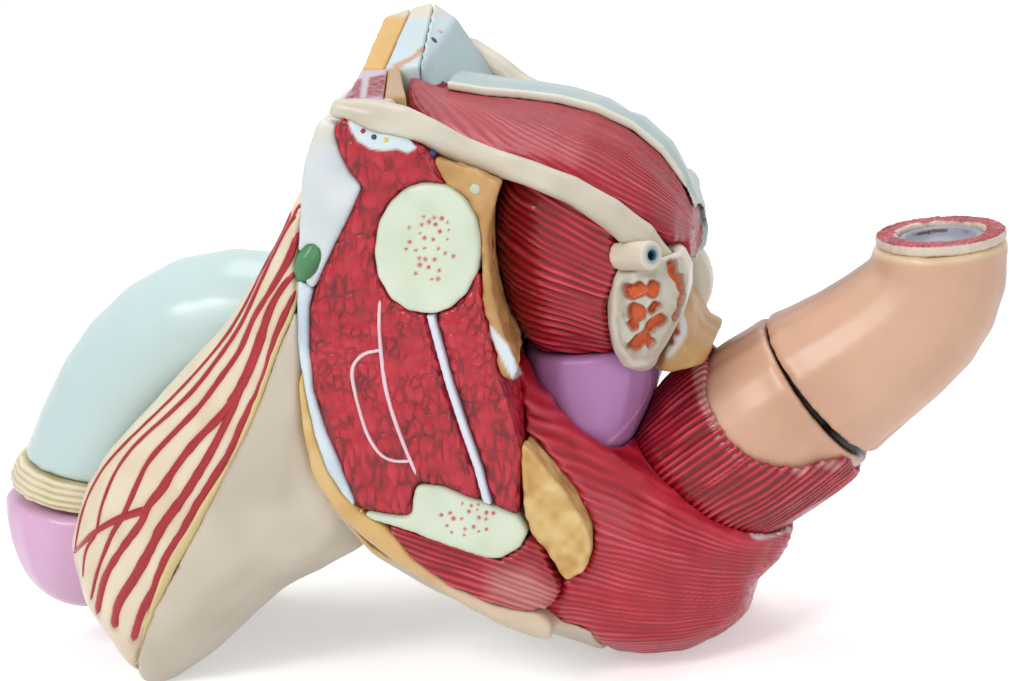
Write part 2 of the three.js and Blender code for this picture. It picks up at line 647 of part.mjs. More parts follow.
const ureterEnd = ureterStart.clone().addScaledVector(ureterDirection, URETER_LENGTH + 0.1);
const ureterSolid = cut(rod(ureterStart, ureterDirection, URETER_RADIUS, URETER_LENGTH, 12), [ductus]);
const ureter = cut(ureterSolid, [rod(ureterEnd, ureterDirection.clone().negate(), URETER_BORE, 4, 8)], 0);
// The left vesicle is cut open and wide, and the right one is whole and rounder
const OPEN_VESICLE = [
  [68, 32.2, 36.6, -24, -15], [71, 29.6, 38, -30, -12], [76, 28.2, 42, -32.8, -9.5],
  [83, 28, 45.2, -33.4, -8], [89, 29, 46.6, -32.8, -9], [94, 32, 45, -30, -13],
];
const WHOLE_VESICLE = [
  [67.5, 33.5, 39.5, -23, -14], [70, 31.5, 43.2, -27, -10], [74.5, 30, 45.2, -30, -8],
  [79, 30, 45.2, -30.5, -8], [83.5, 31, 43.4, -29, -9.5], [87, 33.5, 40.5, -26, -13],
];
const vesicle = cut(widened(levels(OPEN_VESICLE, 6, 12, 2.6)), [ductus, ureter]);
const vesicleRight = cut(
  mirrored(widened(levels(WHOLE_VESICLE, 6, 12, 2.2))), [mirrored(ductus), mirrored(ureter)]);
const bothSides = (pieces) => pieces.flatMap((piece) => [piece, mirrored(piece)]);
const sideTools = [...bothSides([ductus, ureter]), vesicle, vesicleRight];
const domeFull = domeShape(0);
const PERITONEUM_REGION = [
  [-7, 122], [9, 114], [26, 106], [36, 97], [42.5, 88], [60, 84], [60, 140], [-7, 140],
];

// The peg under the prostate
const peg = rod(new THREE.Vector3(PEG.x, 0, PEG.foot), UP, PEG.radius, PEG.length, 12);

// Retropubic fat behind each muscle plate
const RETROPUBIC_OUTLINE = [
  [-6.5, 122.6], [0, 119.6], [6, 117.4], [10.8, 114], [8.6, 109], [7.2, 103], [6.9, 97], [7, 91], [8, 85.3],
  [9.4, 79.7], [10.8, 75.2], [9.6, 71.5], [6, 73], [4, 80], [3, 90], [3.8, 98], [3.6, 105], [1, 110.5],
  [-4, 117],
];
const FAT_SLOPE = 0.12;         // its rear side leans forward with depth, towards the bladder

// Abdominal wall: cut muscle and fat on the left, a taller piece with its lining on the right.
// Each edge holds its x in the median plane and how far it moves forward for each millimetre to the right
const ABDOMEN = {
  low: 114, cut: 133, end: SECTION - 7.8,
  left: { front: [-26.8, 0.135], middle: [-20.4, 0.2], rear: [-17.7, 0.26] },
  right: { front: [-26.6, 0.055], middle: [-21.3, 0.015], sheath: [-13.3, 0.09] },
};
// Height at the far end of the right side, above the edge between fat and sheath, and from there how far
// the front edge drops, the peak rises, and the lining drops from the peak
const CREST = { middle: 140.6, frontDrop: 1.7, peakRise: 1, liningDrop: 3.6 };
const crestFront = CREST.middle - CREST.frontDrop;
const crestPeak = CREST.middle + CREST.peakRise;
const edgeAt = ([x, slant], y, offset = 0) => x - slant * y + offset;
function abdominalSlab(front, rear, [y0, y1], [z0, frontHeight, rearHeight]) {
  const corners = [
    [front, y0, 0, z0], [rear, y0, -GAP, z0], [rear, y1, -GAP, rearHeight], [front, y1, 0, frontHeight],
  ];
  return loft([
    corners.map(([edge, y, offset]) => new THREE.Vector3(edgeAt(edge, y, offset), y, ABDOMEN.low)),
    corners.map(([edge, y, offset, z]) => new THREE.Vector3(edgeAt(edge, y, offset), y, z)),
  ]);
}

const wallRight = mirrored(wall);

// The plain inner body that everything is glued to
const CORE_OUTLINE = [
  [-30, 46], [-32.4, 60], [-32.4, 84], [-28, 99], [-21, 110], [-16, ABDOMEN.low - GAP],
  [-1, ABDOMEN.low - GAP], [3.4, 106], [3.6, 60], [24, 46], [26, 4], [0, 4], [-24, 28],
];
const CORE_HALF = SECTION - WALL_DEPTH - GAP;
const rectumWay = lowerRectumTube(RECTUM_SLEEVE);
const core = cut(within(plate(CORE_OUTLINE, -CORE_HALF, CORE_HALF), coreHull),
  [symphysis, ...bothSides([pubis]), rectumWay, peg, bladderWay, prostateWay, domeFull, shaftRoom]);

// The front end of the ductus lifts out past the fascia and the wall
const ductusWay = plate([
  [-25.5, 130], [-21, 128.6], [-15, 125.2], [-9.8, 123.8], [-4, 121.6], [2, 118], [2, 150], [-25.5, 150],
], -60, -ABDOMEN.end);
const leftSpan = [-ABDOMEN.end, -GAP / 2];
const rightSpan = [GAP / 2, ABDOMEN.end];
const { left: nearEdges, right: farEdges } = ABDOMEN;
const level = [ABDOMEN.cut, ABDOMEN.cut, ABDOMEN.cut];
const rectusFull = abdominalSlab(nearEdges.front, nearEdges.middle, leftSpan, level);
const rectusLeft = cut(rectusFull, [wall]);
const wallFatLeft = cut(abdominalSlab(nearEdges.middle, nearEdges.rear, leftSpan, level), [wall]);
const wallFatRight = cut(abdominalSlab(farEdges.front, farEdges.middle, rightSpan,
  [ABDOMEN.cut, crestFront, CREST.middle]), [wallRight]);
const rectusRight = cut(abdominalSlab(farEdges.middle, farEdges.sheath, rightSpan,
  [ABDOMEN.cut, CREST.middle, crestPeak]), [wallRight]);
// Lining rows: x at the sheath, x and z of its rear edge, at the low end and at the top
const liningCorners = (y, rear, z, frontHeight) => [
  new THREE.Vector3(edgeAt(farEdges.sheath, y), y, frontHeight), new THREE.Vector3(rear, y, z),
];
const liningRight = cut(loft([
  [...liningCorners(rightSpan[0], 1.4, ABDOMEN.low, ABDOMEN.low),
    ...liningCorners(rightSpan[1], 1.8, ABDOMEN.low, ABDOMEN.low).reverse()],
  [...liningCorners(rightSpan[0], -11.4, 129.5, ABDOMEN.cut),
    ...liningCorners(rightSpan[1], -11.5, crestPeak - CREST.liningDrop, crestPeak).reverse()],
]), [wallRight, mirrored(pubis), mirrored(ductusWay), mirrored(ductus)]);
const abdomen = [rectusLeft, wallFatLeft, wallFatRight, rectusRight, liningRight];

const bladderBody = cut(bladderBodyFull, [domeFull, ...sideTools]);
const dome = cut(domeFull, [...sideTools, ...abdomen]);
const prostate = cut(prostateFull, [bladderBody, vesicle, vesicleRight]);
const peritoneumFull = within(
  domeShape(PERITONEUM.thickness), plate(PERITONEUM_REGION, PERITONEUM.from, PERITONEUM.to));
const peritoneum = cut(peritoneumFull, [domeFull, bladderBodyFull, ...sideTools, ...abdomen]);
const blockPieces = [bladderBody, dome, prostate, peritoneum, ...sideTools];

// Fascia over the front of the abdomen and of the pelvis
const INGUINAL_OUTLINE = [
  [-24.8, 132.5], [-27, 129], [-30.2, 122], [-31.8, 116], [-33.4, 106], [-34.8, 97], [-30, 92], [-20, 100],
  [-14, 116], [-19, 124],
];
const BAND_OUTLINE = [
  [-34.6, 96.6], [-35.4, 92], [-36.2, 83], [-36, 71.8], [-34.9, 61], [-33, 53], [-30.4, 48], [-27.6, 44.4],
  [-20, 50], [-24, 80], [-29, 92],
];
const lymphNode = widened(cord([
  [-34.6, -39.4, 95, 0.3], [-33.4, -40.2, 98, 0.95], [-31.6, -40.4, 101, 1], [-29.8, -40, 104, 0.4],
].map(([x, y, z, s]) => [x, y, z, s * LYMPH_NODE_RADIUS]), 5, 8));
const inguinalRaw = cut(
  plate(INGUINAL_OUTLINE, -SECTION, -GAP / 2), [wall, pubis, lymphNode, ductusWay, ductus, core]);
const inguinal = cut(inguinalRaw, [rectusFull, wallFatLeft]);
const inguinalRight = cut(mirrored(inguinalRaw), [wallFatRight, rectusRight, liningRight]);
const band = cut(
  plate(BAND_OUTLINE, -SECTION, -GAP / 2), [wall, ischium, inguinal, shaftRoom, lymphNode, core]);

const outerHull = cut(hull(0), [BELOW_FLOOR], 0);
const innerHull = hull(SKIN);
const SKIN_REGION = plate(
  [[-60, -20], [SKIN_REAR, -20], [SKIN_REAR - 8, 30], [-20, 60], [-60, 60]], -60, -GAP / 2);
const skinPan = cut(cut(within(outerHull, SKIN_REGION), [innerHull], 0), [wall, ischium, core]);
// Its rim shows beside the cut face, from the fascia band down and round to the pelvic floor
const SKIN_RIM = [
  [-36.5, 80], [-37.3, 71.8], [-37.7, 62.8], [-36.4, 51.8], [-32.3, 44], [-26.4, 37.4], [-19.2, 31],
  [-8.8, 23.4], [1.6, 17], [9.5, 13.6], [12.4, 13.4], [12.6, 16.6], [8, 20.8], [0, 22.8], [-9, 27.6],
  [-16.5, 33.8], [-22, 40], [-27.3, 43.8], [-31, 51], [-33.8, 62], [-35, 74],
];

// Muscle under the ischium and the lobed fat beside it
const PERINEAL_OUTLINE = [
  [-21.5, 41], [-11.9, 37.5], [-1.3, 33], [3.1, 32], [7.7, 34.5], [9.9, 37], [12.1, 34.6], [13.5, 30.7],
  [14.9, 27.2], [15.4, 24.6], [13.1, 21.2], [8, 20], [0, 22], [-9, 26.8], [-16.5, 33],
];
const perinealFull = plate(PERINEAL_OUTLINE, -SECTION, -20);
const perineal = cut(perinealFull, [ischium, wall, skinPan, core]);
const skinRim = plate(SKIN_RIM, -SECTION + BONE_PROUD, -SECTION + SKIN_RIM_DEPTH);
const skin = cut(joined(skinPan, skinRim), [wall, ischium, perineal, band, core, shaftRoom]);
const ISCHIOANAL_OUTLINE = [
  [9.4, 58.5], [12.4, 55.6], [15.6, 50.8], [20, 43.9], [22.8, 37], [22.6, 32.4], [20.8, 28.8], [17, 26.4],
  [15.6, 28], [14.8, 30.8], [12.8, 34.2], [10.2, 38], [9.2, 44], [9.6, 50],
];
const ISCHIOANAL_DEPTH = 12;    // from the cut face
const ischioanal = cut(plate(ISCHIOANAL_OUTLINE, -SECTION + 0.6, -SECTION + ISCHIOANAL_DEPTH),
  [ischium, wall, perineal]);

// Lower rectum, its muscle sleeve and the fat on top of it
const lowerRectum = cut(cut(lowerRectumTube(0), pinBores, 0), [prostate, ...sideTools]);
const SLEEVE_REGION = plate([
  [46, 74], [46.6, 59.5], [51.5, 50.5], [58, 45.8], [66.5, 43.6], [77, 44.8], [78, 34], [58, -10],
  [-10, -10], [-10, 74],
], -60, 60);
const sleeve = cut(within(rectumWay, SLEEVE_REGION), [lowerRectumTube(0), prostate, ...sideTools]);
const FAT_OUTLINE = [
  [41.5, 82], [43.4, 77.5], [44.2, 74], [45, 71.6], [48, 69.4], [46, 65], [38, 63], [34.5, 64.5],
  [36.5, 70], [39.5, 76],
];
const rectovesicalFat = cut(
  loft([-17, -12, 0, 12, 17].map((y) => FAT_OUTLINE.map(([x, z]) => new THREE.Vector3(
    42 + (x - 42) * (Math.abs(y) > 16 ? 0.6 : 1), y, 68 + (z - 68) * (1 - (y / 24) ** 2))))),
  [lowerRectumTube(0), sleeve, ...blockPieces]);

const prostateSeated = cut(prostate, [peg]);

// Pelvic floor sling on each side
const FLOOR_REGION = plate(
  [[FLOOR_FRONT - 5, -10], [90, -10], [90, 90], [FLOOR_FRONT - 5, 90]], -60, -GAP / 2);
const levator = cut(within(outerHull, FLOOR_REGION),
  [skin, wall, ischium, perinealFull, ischioanal, core, rectumWay, prostateWay, bladderWay]);

const leaning = new THREE.Matrix4().makeShear(0, 0, -FAT_SLOPE, 0, 0, 0);
leaning.setPosition(-FAT_SLOPE * SECTION, 0, 0);
const retropubic = cut(plate(RETROPUBIC_OUTLINE, -SECTION + 0.6, -20).applyMatrix4(leaning),
  [wall, pubis, ductus, core, levator, bladderWay, prostateWay, dome, vesicle, mirrored(liningRight)]);

// Spermatic cord with its muscle and the scrotum behind it, both cut from one sac
// Rows: front x and z, rear x and z, y from, y to
const SAC = [
  [-31.5, 118, -27, 108, -38, -20], [-36.5, 111, -28, 99, -41, -12], [-44.5, 98.5, -29, 88, -41.4, -5],
  [-57, 83, -30, 68, -41.2, -1.5], [-73, 68.5, -29, 53, -40.8, -0.2], [-88.5, 54.5, -26, 38, -40.8, -0.2],
  [-95, 46, -30, 31, -40.4, -0.2], [-100, 33, -50, 21, -39, -0.6], [-98.5, 21.5, -67, 7, -36.4, -4],
  [-91, 8, -78, 0.2, -31.5, -13], [-86.5, 0.6, -82, -1.4, -27.5, -18.5],
];
function sacShape() {
  return widened(loft(smoothRows(SAC, 10).map(([fx, fz, bx, bz, y0, y1]) => ring(
    new THREE.Vector3((fx + bx) / 2, (y0 + y1) / 2, (fz + bz) / 2),
    new THREE.Vector3((fx - bx) / 2, 0, (fz - bz) / 2), new THREE.Vector3(0, (y1 - y0) / 2, 0), 2.5, 12))));
}
const CORD_REGION = plate([
  [-29, 106], [-35.2, 96.3], [-37.2, 88.6], [-41.4, 81], [-46.7, 69.9], [-50.8, 62.1], [-57.2, 52.1],
  [-62.9, 43], [-69.9, 32.7], [-77, 22.3], [-81.5, 14.1], [-85, 8], [-89, -6], [-120, -6], [-120, 130],
  [-29, 130],
], -60, 60);
const sac = cut(sacShape(), [BELOW_FLOOR], 0);
const sacTools = [shaftRoom, tipRoom, inguinal, band, lymphNode, skin, wall];
const cremaster = cut(within(sac, CORD_REGION), sacTools);
const scrotum = cut(sac, [CORD_REGION, ...sacTools, ischium, perineal, core]);

// Colours
const MUSCLE = '#c4283a';
const BONE = '#e6f0dc';
const CREAM = '#efe3c8';
const OCHRE = '#d9a55a';
const FASCIA = '#ddebf3';
const FLESH = '#d9ae92';
const SKIN_COLOUR = '#dccfb8';

addPiece('inner_core', core, '#c9c2b4', 0.6);
addPair('pelvic_wall', wall, MUSCLE, 0.4);
addPair('pubic_bone', pubis, BONE, 0.45);
addPiece('pubic_symphysis', symphysis, '#d5dde0', 0.5);
addPair('ischial_ramus', ischium, BONE, 0.45);
addPair('obturator_membrane', septumSeated, '#eef3f5', 0.4);
addPair('retropubic_fat', retropubic, OCHRE, 0.5);
addPiece('inguinal_fascia_left', inguinal, FASCIA, 0.4);
addPiece('inguinal_fascia_right', inguinalRight, FASCIA, 0.4);
addPair('fascia_band', band, '#c9dfec', 0.4);
addPair('lymph_node', lymphNode, '#6e9e72', 0.4);
addPiece('rectus_muscle_left', rectusLeft, MUSCLE, 0.4);
addPiece('wall_fat_left', wallFatLeft, OCHRE, 0.5);
addPiece('wall_fat_right', wallFatRight, OCHRE, 0.5);
addPiece('rectus_sheath_right', rectusRight, FASCIA, 0.4);
addPiece('wall_lining_right', liningRight, '#b9cacb', 0.4);
addPiece('penis_shaft', shaft, '#d5eae8', 0.25);
addPiece('foreskin_collar', collar, CREAM, 0.35);
addPiece('glans', glans, '#ebc6e0', 0.3);
addPair('spermatic_cord', cremaster, '#f2e2cc', 0.35);
addPair('scrotum', scrotum, SKIN_COLOUR, 0.45);
addPair('perineal_skin', skin, OCHRE, 0.45);
addPair('perineal_muscle', perineal, MUSCLE, 0.4);
addPair('ischioanal_fat', ischioanal, OCHRE, 0.5);
addPair('levator_ani', levator, MUSCLE, 0.35);
addPiece('rectal_muscle', sleeve, MUSCLE, 0.35);
addPiece('lower_rectum', lowerRectum, FLESH, 0.35);
addPiece('rectovesical_fat', rectovesicalFat, OCHRE, 0.5);
addPiece('rectum_pin_lower', rectumPins[0], '#c9ccd0', 0.3);
addPiece('rectum_pin_upper', rectumPins[1], '#c9ccd0', 0.3);
addPiece('prostate_peg', peg, '#c9ccd0', 0.3);

addPiece('bladder_body', bladderBody, MUSCLE, 0.4, bladderBlock);
addPiece('bladder_dome', dome, MUSCLE, 0.3, bladderBlock);
addPiece('peritoneum', peritoneum, '#b9cacb', 0.4, bladderBlock);
addPair('ductus_deferens', ductus, CREAM, 0.35, bladderBlock);
addPair('ureter', ureter, '#c8cbc4', 0.35, bladderBlock);
addPiece('seminal_vesicle_left', vesicle, '#dcd6c6', 0.4, bladderBlock);
addPiece('seminal_vesicle_right', vesicleRight, '#dcd6c6', 0.4, bladderBlock);
addPiece('prostate', prostateSeated, '#b47aae', 0.35, bladderBlock);

addPiece('upper_rectum', upperRectumWall, FLESH, 0.35, upperRectum);
addPiece('rectum_cut_ring', cutRing, MUSCLE, 0.4, upperRectum);
addPiece('rectum_lining', lumenLining, '#9a98aa', 0.4, upperRectum);

// The model's origin lies on the table, under the middle of its outer box
const box = new THREE.Box3().setFromObject(model);
const middle = box.getCenter(new THREE.Vector3());
model.position.set(-middle.x, -middle.y, -box.min.z);

export default model;
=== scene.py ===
"""Teaching model of the male pelvic organs in painted PVC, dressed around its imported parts.

The near (left) side is sculpted and painted, and the far side is its mirror image. Lengths inside the
sculpting tools are millimetres; Blender objects are in metres.
"""

import itertools
import math

import bmesh
import bpy
import numpy as np
from mathutils import Matrix, Vector
from mathutils.bvhtree import BVHTree


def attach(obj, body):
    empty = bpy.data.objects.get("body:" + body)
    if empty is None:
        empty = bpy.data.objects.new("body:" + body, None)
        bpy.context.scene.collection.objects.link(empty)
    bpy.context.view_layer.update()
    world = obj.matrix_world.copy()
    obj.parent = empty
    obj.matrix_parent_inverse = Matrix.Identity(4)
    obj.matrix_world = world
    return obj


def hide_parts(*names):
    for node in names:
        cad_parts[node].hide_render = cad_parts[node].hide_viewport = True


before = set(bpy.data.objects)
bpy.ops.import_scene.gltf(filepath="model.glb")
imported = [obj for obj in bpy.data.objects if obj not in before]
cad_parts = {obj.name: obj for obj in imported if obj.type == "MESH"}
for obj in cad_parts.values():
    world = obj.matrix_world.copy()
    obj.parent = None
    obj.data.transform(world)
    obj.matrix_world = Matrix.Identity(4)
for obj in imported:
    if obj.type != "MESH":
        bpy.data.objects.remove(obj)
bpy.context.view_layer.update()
MM = 0.001

# Camera: the photograph's angle, tilt and lens, fitted to the model's outlines. A pixel of the photograph
# then gives a line of sight, which places paint and small pieces on the surface that it meets.
PHOTO_SIZE = (1011, 681)
AZIMUTH, ELEVATION, ROLL = (math.radians(angle) for angle in (12.0, 15.0, -5.5))
DISTANCE = 0.7
FOCAL_PIXELS = 3111.0
SENSOR = 36.0
TARGET = Vector((0.00488, 0.0, 0.0695))


def camera_axes():
    level = Vector((math.cos(AZIMUTH), math.sin(AZIMUTH), 0))
    back = Vector((math.sin(AZIMUTH) * math.cos(ELEVATION), -math.cos(AZIMUTH) * math.cos(ELEVATION),
                   math.sin(ELEVATION)))
    upright = back.cross(level)
    right = math.cos(ROLL) * level + math.sin(ROLL) * upright
    return right, back.cross(right), back


RIGHT, UPWARD, BACK = camera_axes()
EYE = TARGET + DISTANCE * BACK


def sight(pixel):
    across = (pixel[0] - PHOTO_SIZE[0] / 2) / FOCAL_PIXELS
    down = (pixel[1] - PHOTO_SIZE[1] / 2) / FOCAL_PIXELS
    return (RIGHT * across - UPWARD * down - BACK).normalized()


def at_depth(pixel, y):
    """The point in millimetres that a pixel shows at the given depth across the body."""
    direction = sight(pixel)
    return np.array(EYE + direction * ((y * MM - EYE.y) / direction.y)) / MM


def pixels_of(points):
    """Where the photograph shows points that are given in millimetres."""
    offset = points * MM - np.array(EYE)
    depth = -offset @ np.array(BACK)
    return np.stack([PHOTO_SIZE[0] / 2 + FOCAL_PIXELS * (offset @ np.array(RIGHT)) / depth,
                     PHOTO_SIZE[1] / 2 - FOCAL_PIXELS * (offset @ np.array(UPWARD)) / depth], axis=1)


def make_camera():
    camera = bpy.data.objects.new("camera", bpy.data.cameras.new("camera"))
    camera.data.sensor_width = SENSOR
    camera.data.lens = FOCAL_PIXELS * SENSOR / PHOTO_SIZE[0]
    camera.matrix_world = Matrix.Translation(EYE) @ Matrix((RIGHT, UPWARD, BACK)).transposed().to_4x4()
    bpy.context.scene.collection.objects.link(camera)
    bpy.context.scene.camera = camera


make_camera()


# Random patterns: smooth clouds, rounded cells and bundles of fibres, as one value for each point.
# Sizes are millimetres; a size of three numbers stretches the pattern.
def hashed(cell, seed):
    key = cell @ np.array([73856093, 19349663, 83492791]) + seed * 668265263
    key = ((key ^ (key >> 13)) * 1274126177) & 0x7FFFFFFF
    return ((key ^ (key >> 15)) % 65536) / 32767.5 - 1


def clouds(points, size, seed=0):
    """Smooth values from -1 to 1, changing over about size."""
    place = points / np.asarray(size, float)
    cell = np.floor(place).astype(np.int64)
    t = place - cell
    t = t * t * (3 - 2 * t)
    total = np.zeros(len(points))
    for corner in itertools.product((0, 1), repeat=3):
        weight = np.prod(np.where(corner, t, 1 - t), axis=1)
        total += weight * hashed(cell + np.array(corner), seed)
    return total


def cell_edges(points, size, seed=0):
    """How far, as a share of size, each point lies from the border of its cell."""
    place = points / np.asarray(size, float)
    cell = np.floor(place).astype(np.int64)
    nearest = np.full(len(points), 9.0)
    second = np.full(len(points), 9.0)
    for offset in itertools.product((-1, 0, 1), repeat=3):
        corner = cell + np.array(offset)
        centre = corner + 0.5 + 0.42 * np.stack([hashed(corner, seed + k) for k in (1, 2, 3)], axis=1)
        distance = np.linalg.norm(place - centre, axis=1)
        second = np.minimum(second, np.maximum(nearest, distance))
        nearest = np.minimum(nearest, distance)
    return second - nearest


def cells(points, size, seed=0, groove=0.35):
    """Rounded cells about size apart: 0 in the grooves, 1 on the tops."""
    return smooth_step(cell_edges(points, size, seed) / groove)


def fibres(skin, across, along, spacing, seed=0, strength=1.0):
    """Ridges from 0 to 1 along the lines on which across stays the same; both lengths are millimetres.
    The skin keeps their count and strength, from which the paint draws the finer grain."""
    flat = np.full(len(across), 0.5)
    crowding = clouds(np.stack([across / (2.2 * spacing), along / 40, flat], axis=1), 1, seed + 2)
    wander = clouds(np.stack([across / (4 * spacing), along / 9, flat], axis=1), 1, seed + 3)
    cycles = across / spacing + 0.5 * crowding + 0.55 * wander
    streak = clouds(np.stack([across / (1.1 * spacing), along / 8, flat], axis=1), 1, seed + 1)
    skin.value("cycles", cycles)
    skin.value("fibre", np.clip(strength * (0.65 + 0.6 * streak), 0, 1))
    return np.clip((0.5 + 0.5 * np.cos(2 * math.pi * cycles)) * (0.65 + 0.55 * streak) + 0.2 * streak, 0, 1)


def smooth_step(t):
    t = np.clip(t, 0, 1)
    return t * t * (3 - 2 * t)


def curve(points, steps=5):
    """A smooth line through the given points."""
    points = [np.asarray(p, float) for p in points]
    padded = [2 * points[0] - points[1], *points, 2 * points[-1] - points[-2]]
    line = []
    for p0, p1, p2, p3 in zip(padded, padded[1:], padded[2:], padded[3:]):
        for t in np.arange(steps) / steps:
            line.append(0.5 * (2 * p1 + (p2 - p0) * t + (2 * p0 - 5 * p1 + 4 * p2 - p3) * t ** 2
                               + (3 * p1 - p0 - 3 * p2 + p3) * t ** 3))
    return np.array([*line, points[-1]])


def spread(values, share):
    """Values that are given at even steps of a way, read at each share of it, from 0 to 1."""
    values = np.atleast_1d(values)
    return np.interp(share, np.linspace(0, 1, len(values)), values)


def distance_to(points, line):
    """How far each point is from a line in space, and the share of the line at which it is nearest."""
    best = np.full(len(points), 1e9)
    along = np.zeros(len(points))
    for i, (a, b) in enumerate(zip(line, line[1:])):
        step = b - a
        t = np.clip((points - a) @ step / max(step @ step, 1e-12), 0, 1)
        distance = np.linalg.norm(points - a - t[:, None] * step, axis=1)
        closer = distance < best
        best[closer] = distance[closer]
        along[closer] = (i + t[closer]) / (len(line) - 1)
    return best, along


# Casting: a piece is a smooth, fine copy of its CAD solids, made by remeshing, rounding and refining
# them. Skin holds its points as arrays, to be sculpted along the normals and painted by named values.
class Skin:
    def __init__(self, piece):
        self.piece = piece
        self.tree = None
        count = len(piece.data.vertices)
        flat = np.empty(count * 3, np.float32)
        piece.data.vertices.foreach_get("co", flat)
        self.points = flat.reshape(-1, 3).astype(float) / MM
        piece.data.vertex_normals.foreach_get("vector", flat)
        self.normals = flat.reshape(-1, 3).astype(float)
        self.relief = np.full(count, 0.5)

    def facing(self, direction):
        return np.clip(self.normals @ (np.asarray(direction, float) / np.linalg.norm(direction)), 0, 1)

    def rise(self, height):
        self.points += self.normals * np.asarray(height).reshape(-1, 1)

    def value(self, name, numbers):
        mesh = self.piece.data
        layer = mesh.attributes.get(name) or mesh.attributes.new(name, "FLOAT", "POINT")
        layer.data.foreach_set("value", np.asarray(numbers).astype(np.float32))

    def paint(self, name, amount):
        self.value(name, np.clip(amount, 0, 1))

    def met(self, pixels):
        """Places and normals where the lines of sight of these pixels meet the piece or pass nearest."""
        if self.tree is None:
            faces = [tuple(face.vertices) for face in self.piece.data.polygons]
            self.tree = BVHTree.FromPolygons([Vector(p) for p in self.points], faces)
        middle = np.mean(self.points, axis=0)
        found = []
        for pixel in pixels:
            direction = sight(pixel)
            place, normal = self.tree.ray_cast(EYE / MM, direction)[:2]
            if place is None:
                reach = (middle - np.array(EYE) / MM) @ np.array(direction)
                place, normal = self.tree.find_nearest(EYE / MM + direction * reach)[:2]
            found.append((np.array(place), np.array(normal)))
        return found

    def on_surface(self, pixels):
        return [place for place, _ in self.met(pixels)]

    def seen(self):
        """1 where the surface faces the photograph's camera, 0 where it faces away."""
        view = np.array(EYE) / MM - self.points
        view /= np.linalg.norm(view, axis=1, keepdims=True)
        return smooth_step(np.sum(view * self.normals, axis=1) / 0.2)

    def region(self, corners, soft=3.0):
        """1 inside an outline of pixels and 0 outside it, over a soft edge."""
        place = pixels_of(self.points)
        corners = np.array(corners, float)
        inside = np.zeros(len(place), bool)
        nearest = np.full(len(place), 1e9)
        for a, b in zip(corners, np.roll(corners, -1, axis=0)):
            step = b - a
            t = np.clip((place - a) @ step / (step @ step), 0, 1)
            nearest = np.minimum(nearest, np.linalg.norm(place - a - t[:, None] * step, axis=1))
            crossed = (a[1] > place[:, 1]) != (b[1] > place[:, 1])
            inside ^= crossed & (place[:, 0] < a[0] + (place[:, 1] - a[1]) * step[0] / (step[1] or 1e-9))
        return smooth_step(0.5 + np.where(inside, nearest, -nearest) / soft) * self.seen()

    def line(self, pixels, width):
        """1 on a line drawn through these pixels, 0 beyond its width, which may change along it."""
        distance, along = distance_to(self.points, curve(self.on_surface(pixels)))
        return smooth_step(1.5 - distance / (spread(width, along) / 2))

    def spots(self, centres, radius):
        found = np.zeros(len(self.points))
        for centre, size in zip(centres, np.broadcast_to(radius, len(centres))):
            distance = np.linalg.norm(self.points - centre, axis=1)
            found = np.maximum(found, smooth_step(1.5 - distance / size))
        return found

    def clouds(self, size, seed):
        return clouds(self.points, size, seed)

    def above(self, height, over):
        """0 below a height, 1 from a little over it."""
        return smooth_step((self.points[:, 2] - height) / over)

    def write(self):
        self.paint("relief", self.relief)
        self.piece.data.vertices.foreach_set("co", (self.points * MM).astype(np.float32).ravel())
        self.piece.data.update()


def new_piece(name, mesh):
    piece = bpy.data.objects.new(name, mesh)
    bpy.context.scene.collection.objects.link(piece)
    return piece


def applied(piece, kind, **settings):
    modifier = piece.modifiers.new(kind, kind)
    for key, value in settings.items():
        setattr(modifier, key, value)
    with bpy.context.temp_override(object=piece, active_object=piece, selected_objects=[piece]):
        bpy.ops.object.modifier_apply(modifier=modifier.name)


def merged_copy(name, node):
    joined = bmesh.new()
    joined.from_mesh(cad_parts[node].data)
    bmesh.ops.remove_doubles(joined, verts=joined.verts, dist=1e-6)
    mesh = bpy.data.meshes.new(name)
    joined.to_mesh(mesh)
    joined.free()
    return new_piece(name, mesh)


def round_forms(mesh, voxel, rounds, corner):
    """Smooths facets away and leaves corners that bend more than corner allows."""
    count = len(mesh.vertices)
    flat = np.empty(count * 3, np.float32)
    mesh.vertices.foreach_get("co", flat)
    points = flat.reshape(-1, 3).astype(float)
    edges = np.empty(len(mesh.edges) * 2, np.int32)
    mesh.edges.foreach_get("vertices", edges)
    start, end = edges.reshape(-1, 2).T
    degree = np.maximum(np.bincount(start, minlength=count) + np.bincount(end, minlength=count), 1)

    def pull(values):
        total = np.stack([np.bincount(start, weights=values[end, k], minlength=count)
                          + np.bincount(end, weights=values[start, k], minlength=count)
                          for k in range(values.shape[1])], axis=1)
        return total / degree[:, None] - values

    for _ in range(3):
        points += 0.5 * pull(points)
    bend = np.linalg.norm(pull(points), axis=1, keepdims=True) / voxel
    hold = smooth_step((bend - corner) / corner)
    hold = np.clip(hold + 2 * np.maximum(pull(hold), 0), 0, 0.9)
    for _ in range(rounds):
        points += 0.6 * (1 - hold) * pull(points)
        points -= 0.62 * (1 - hold) * pull(points)
    mesh.vertices.foreach_set("co", points.astype(np.float32).ravel())
    mesh.update()


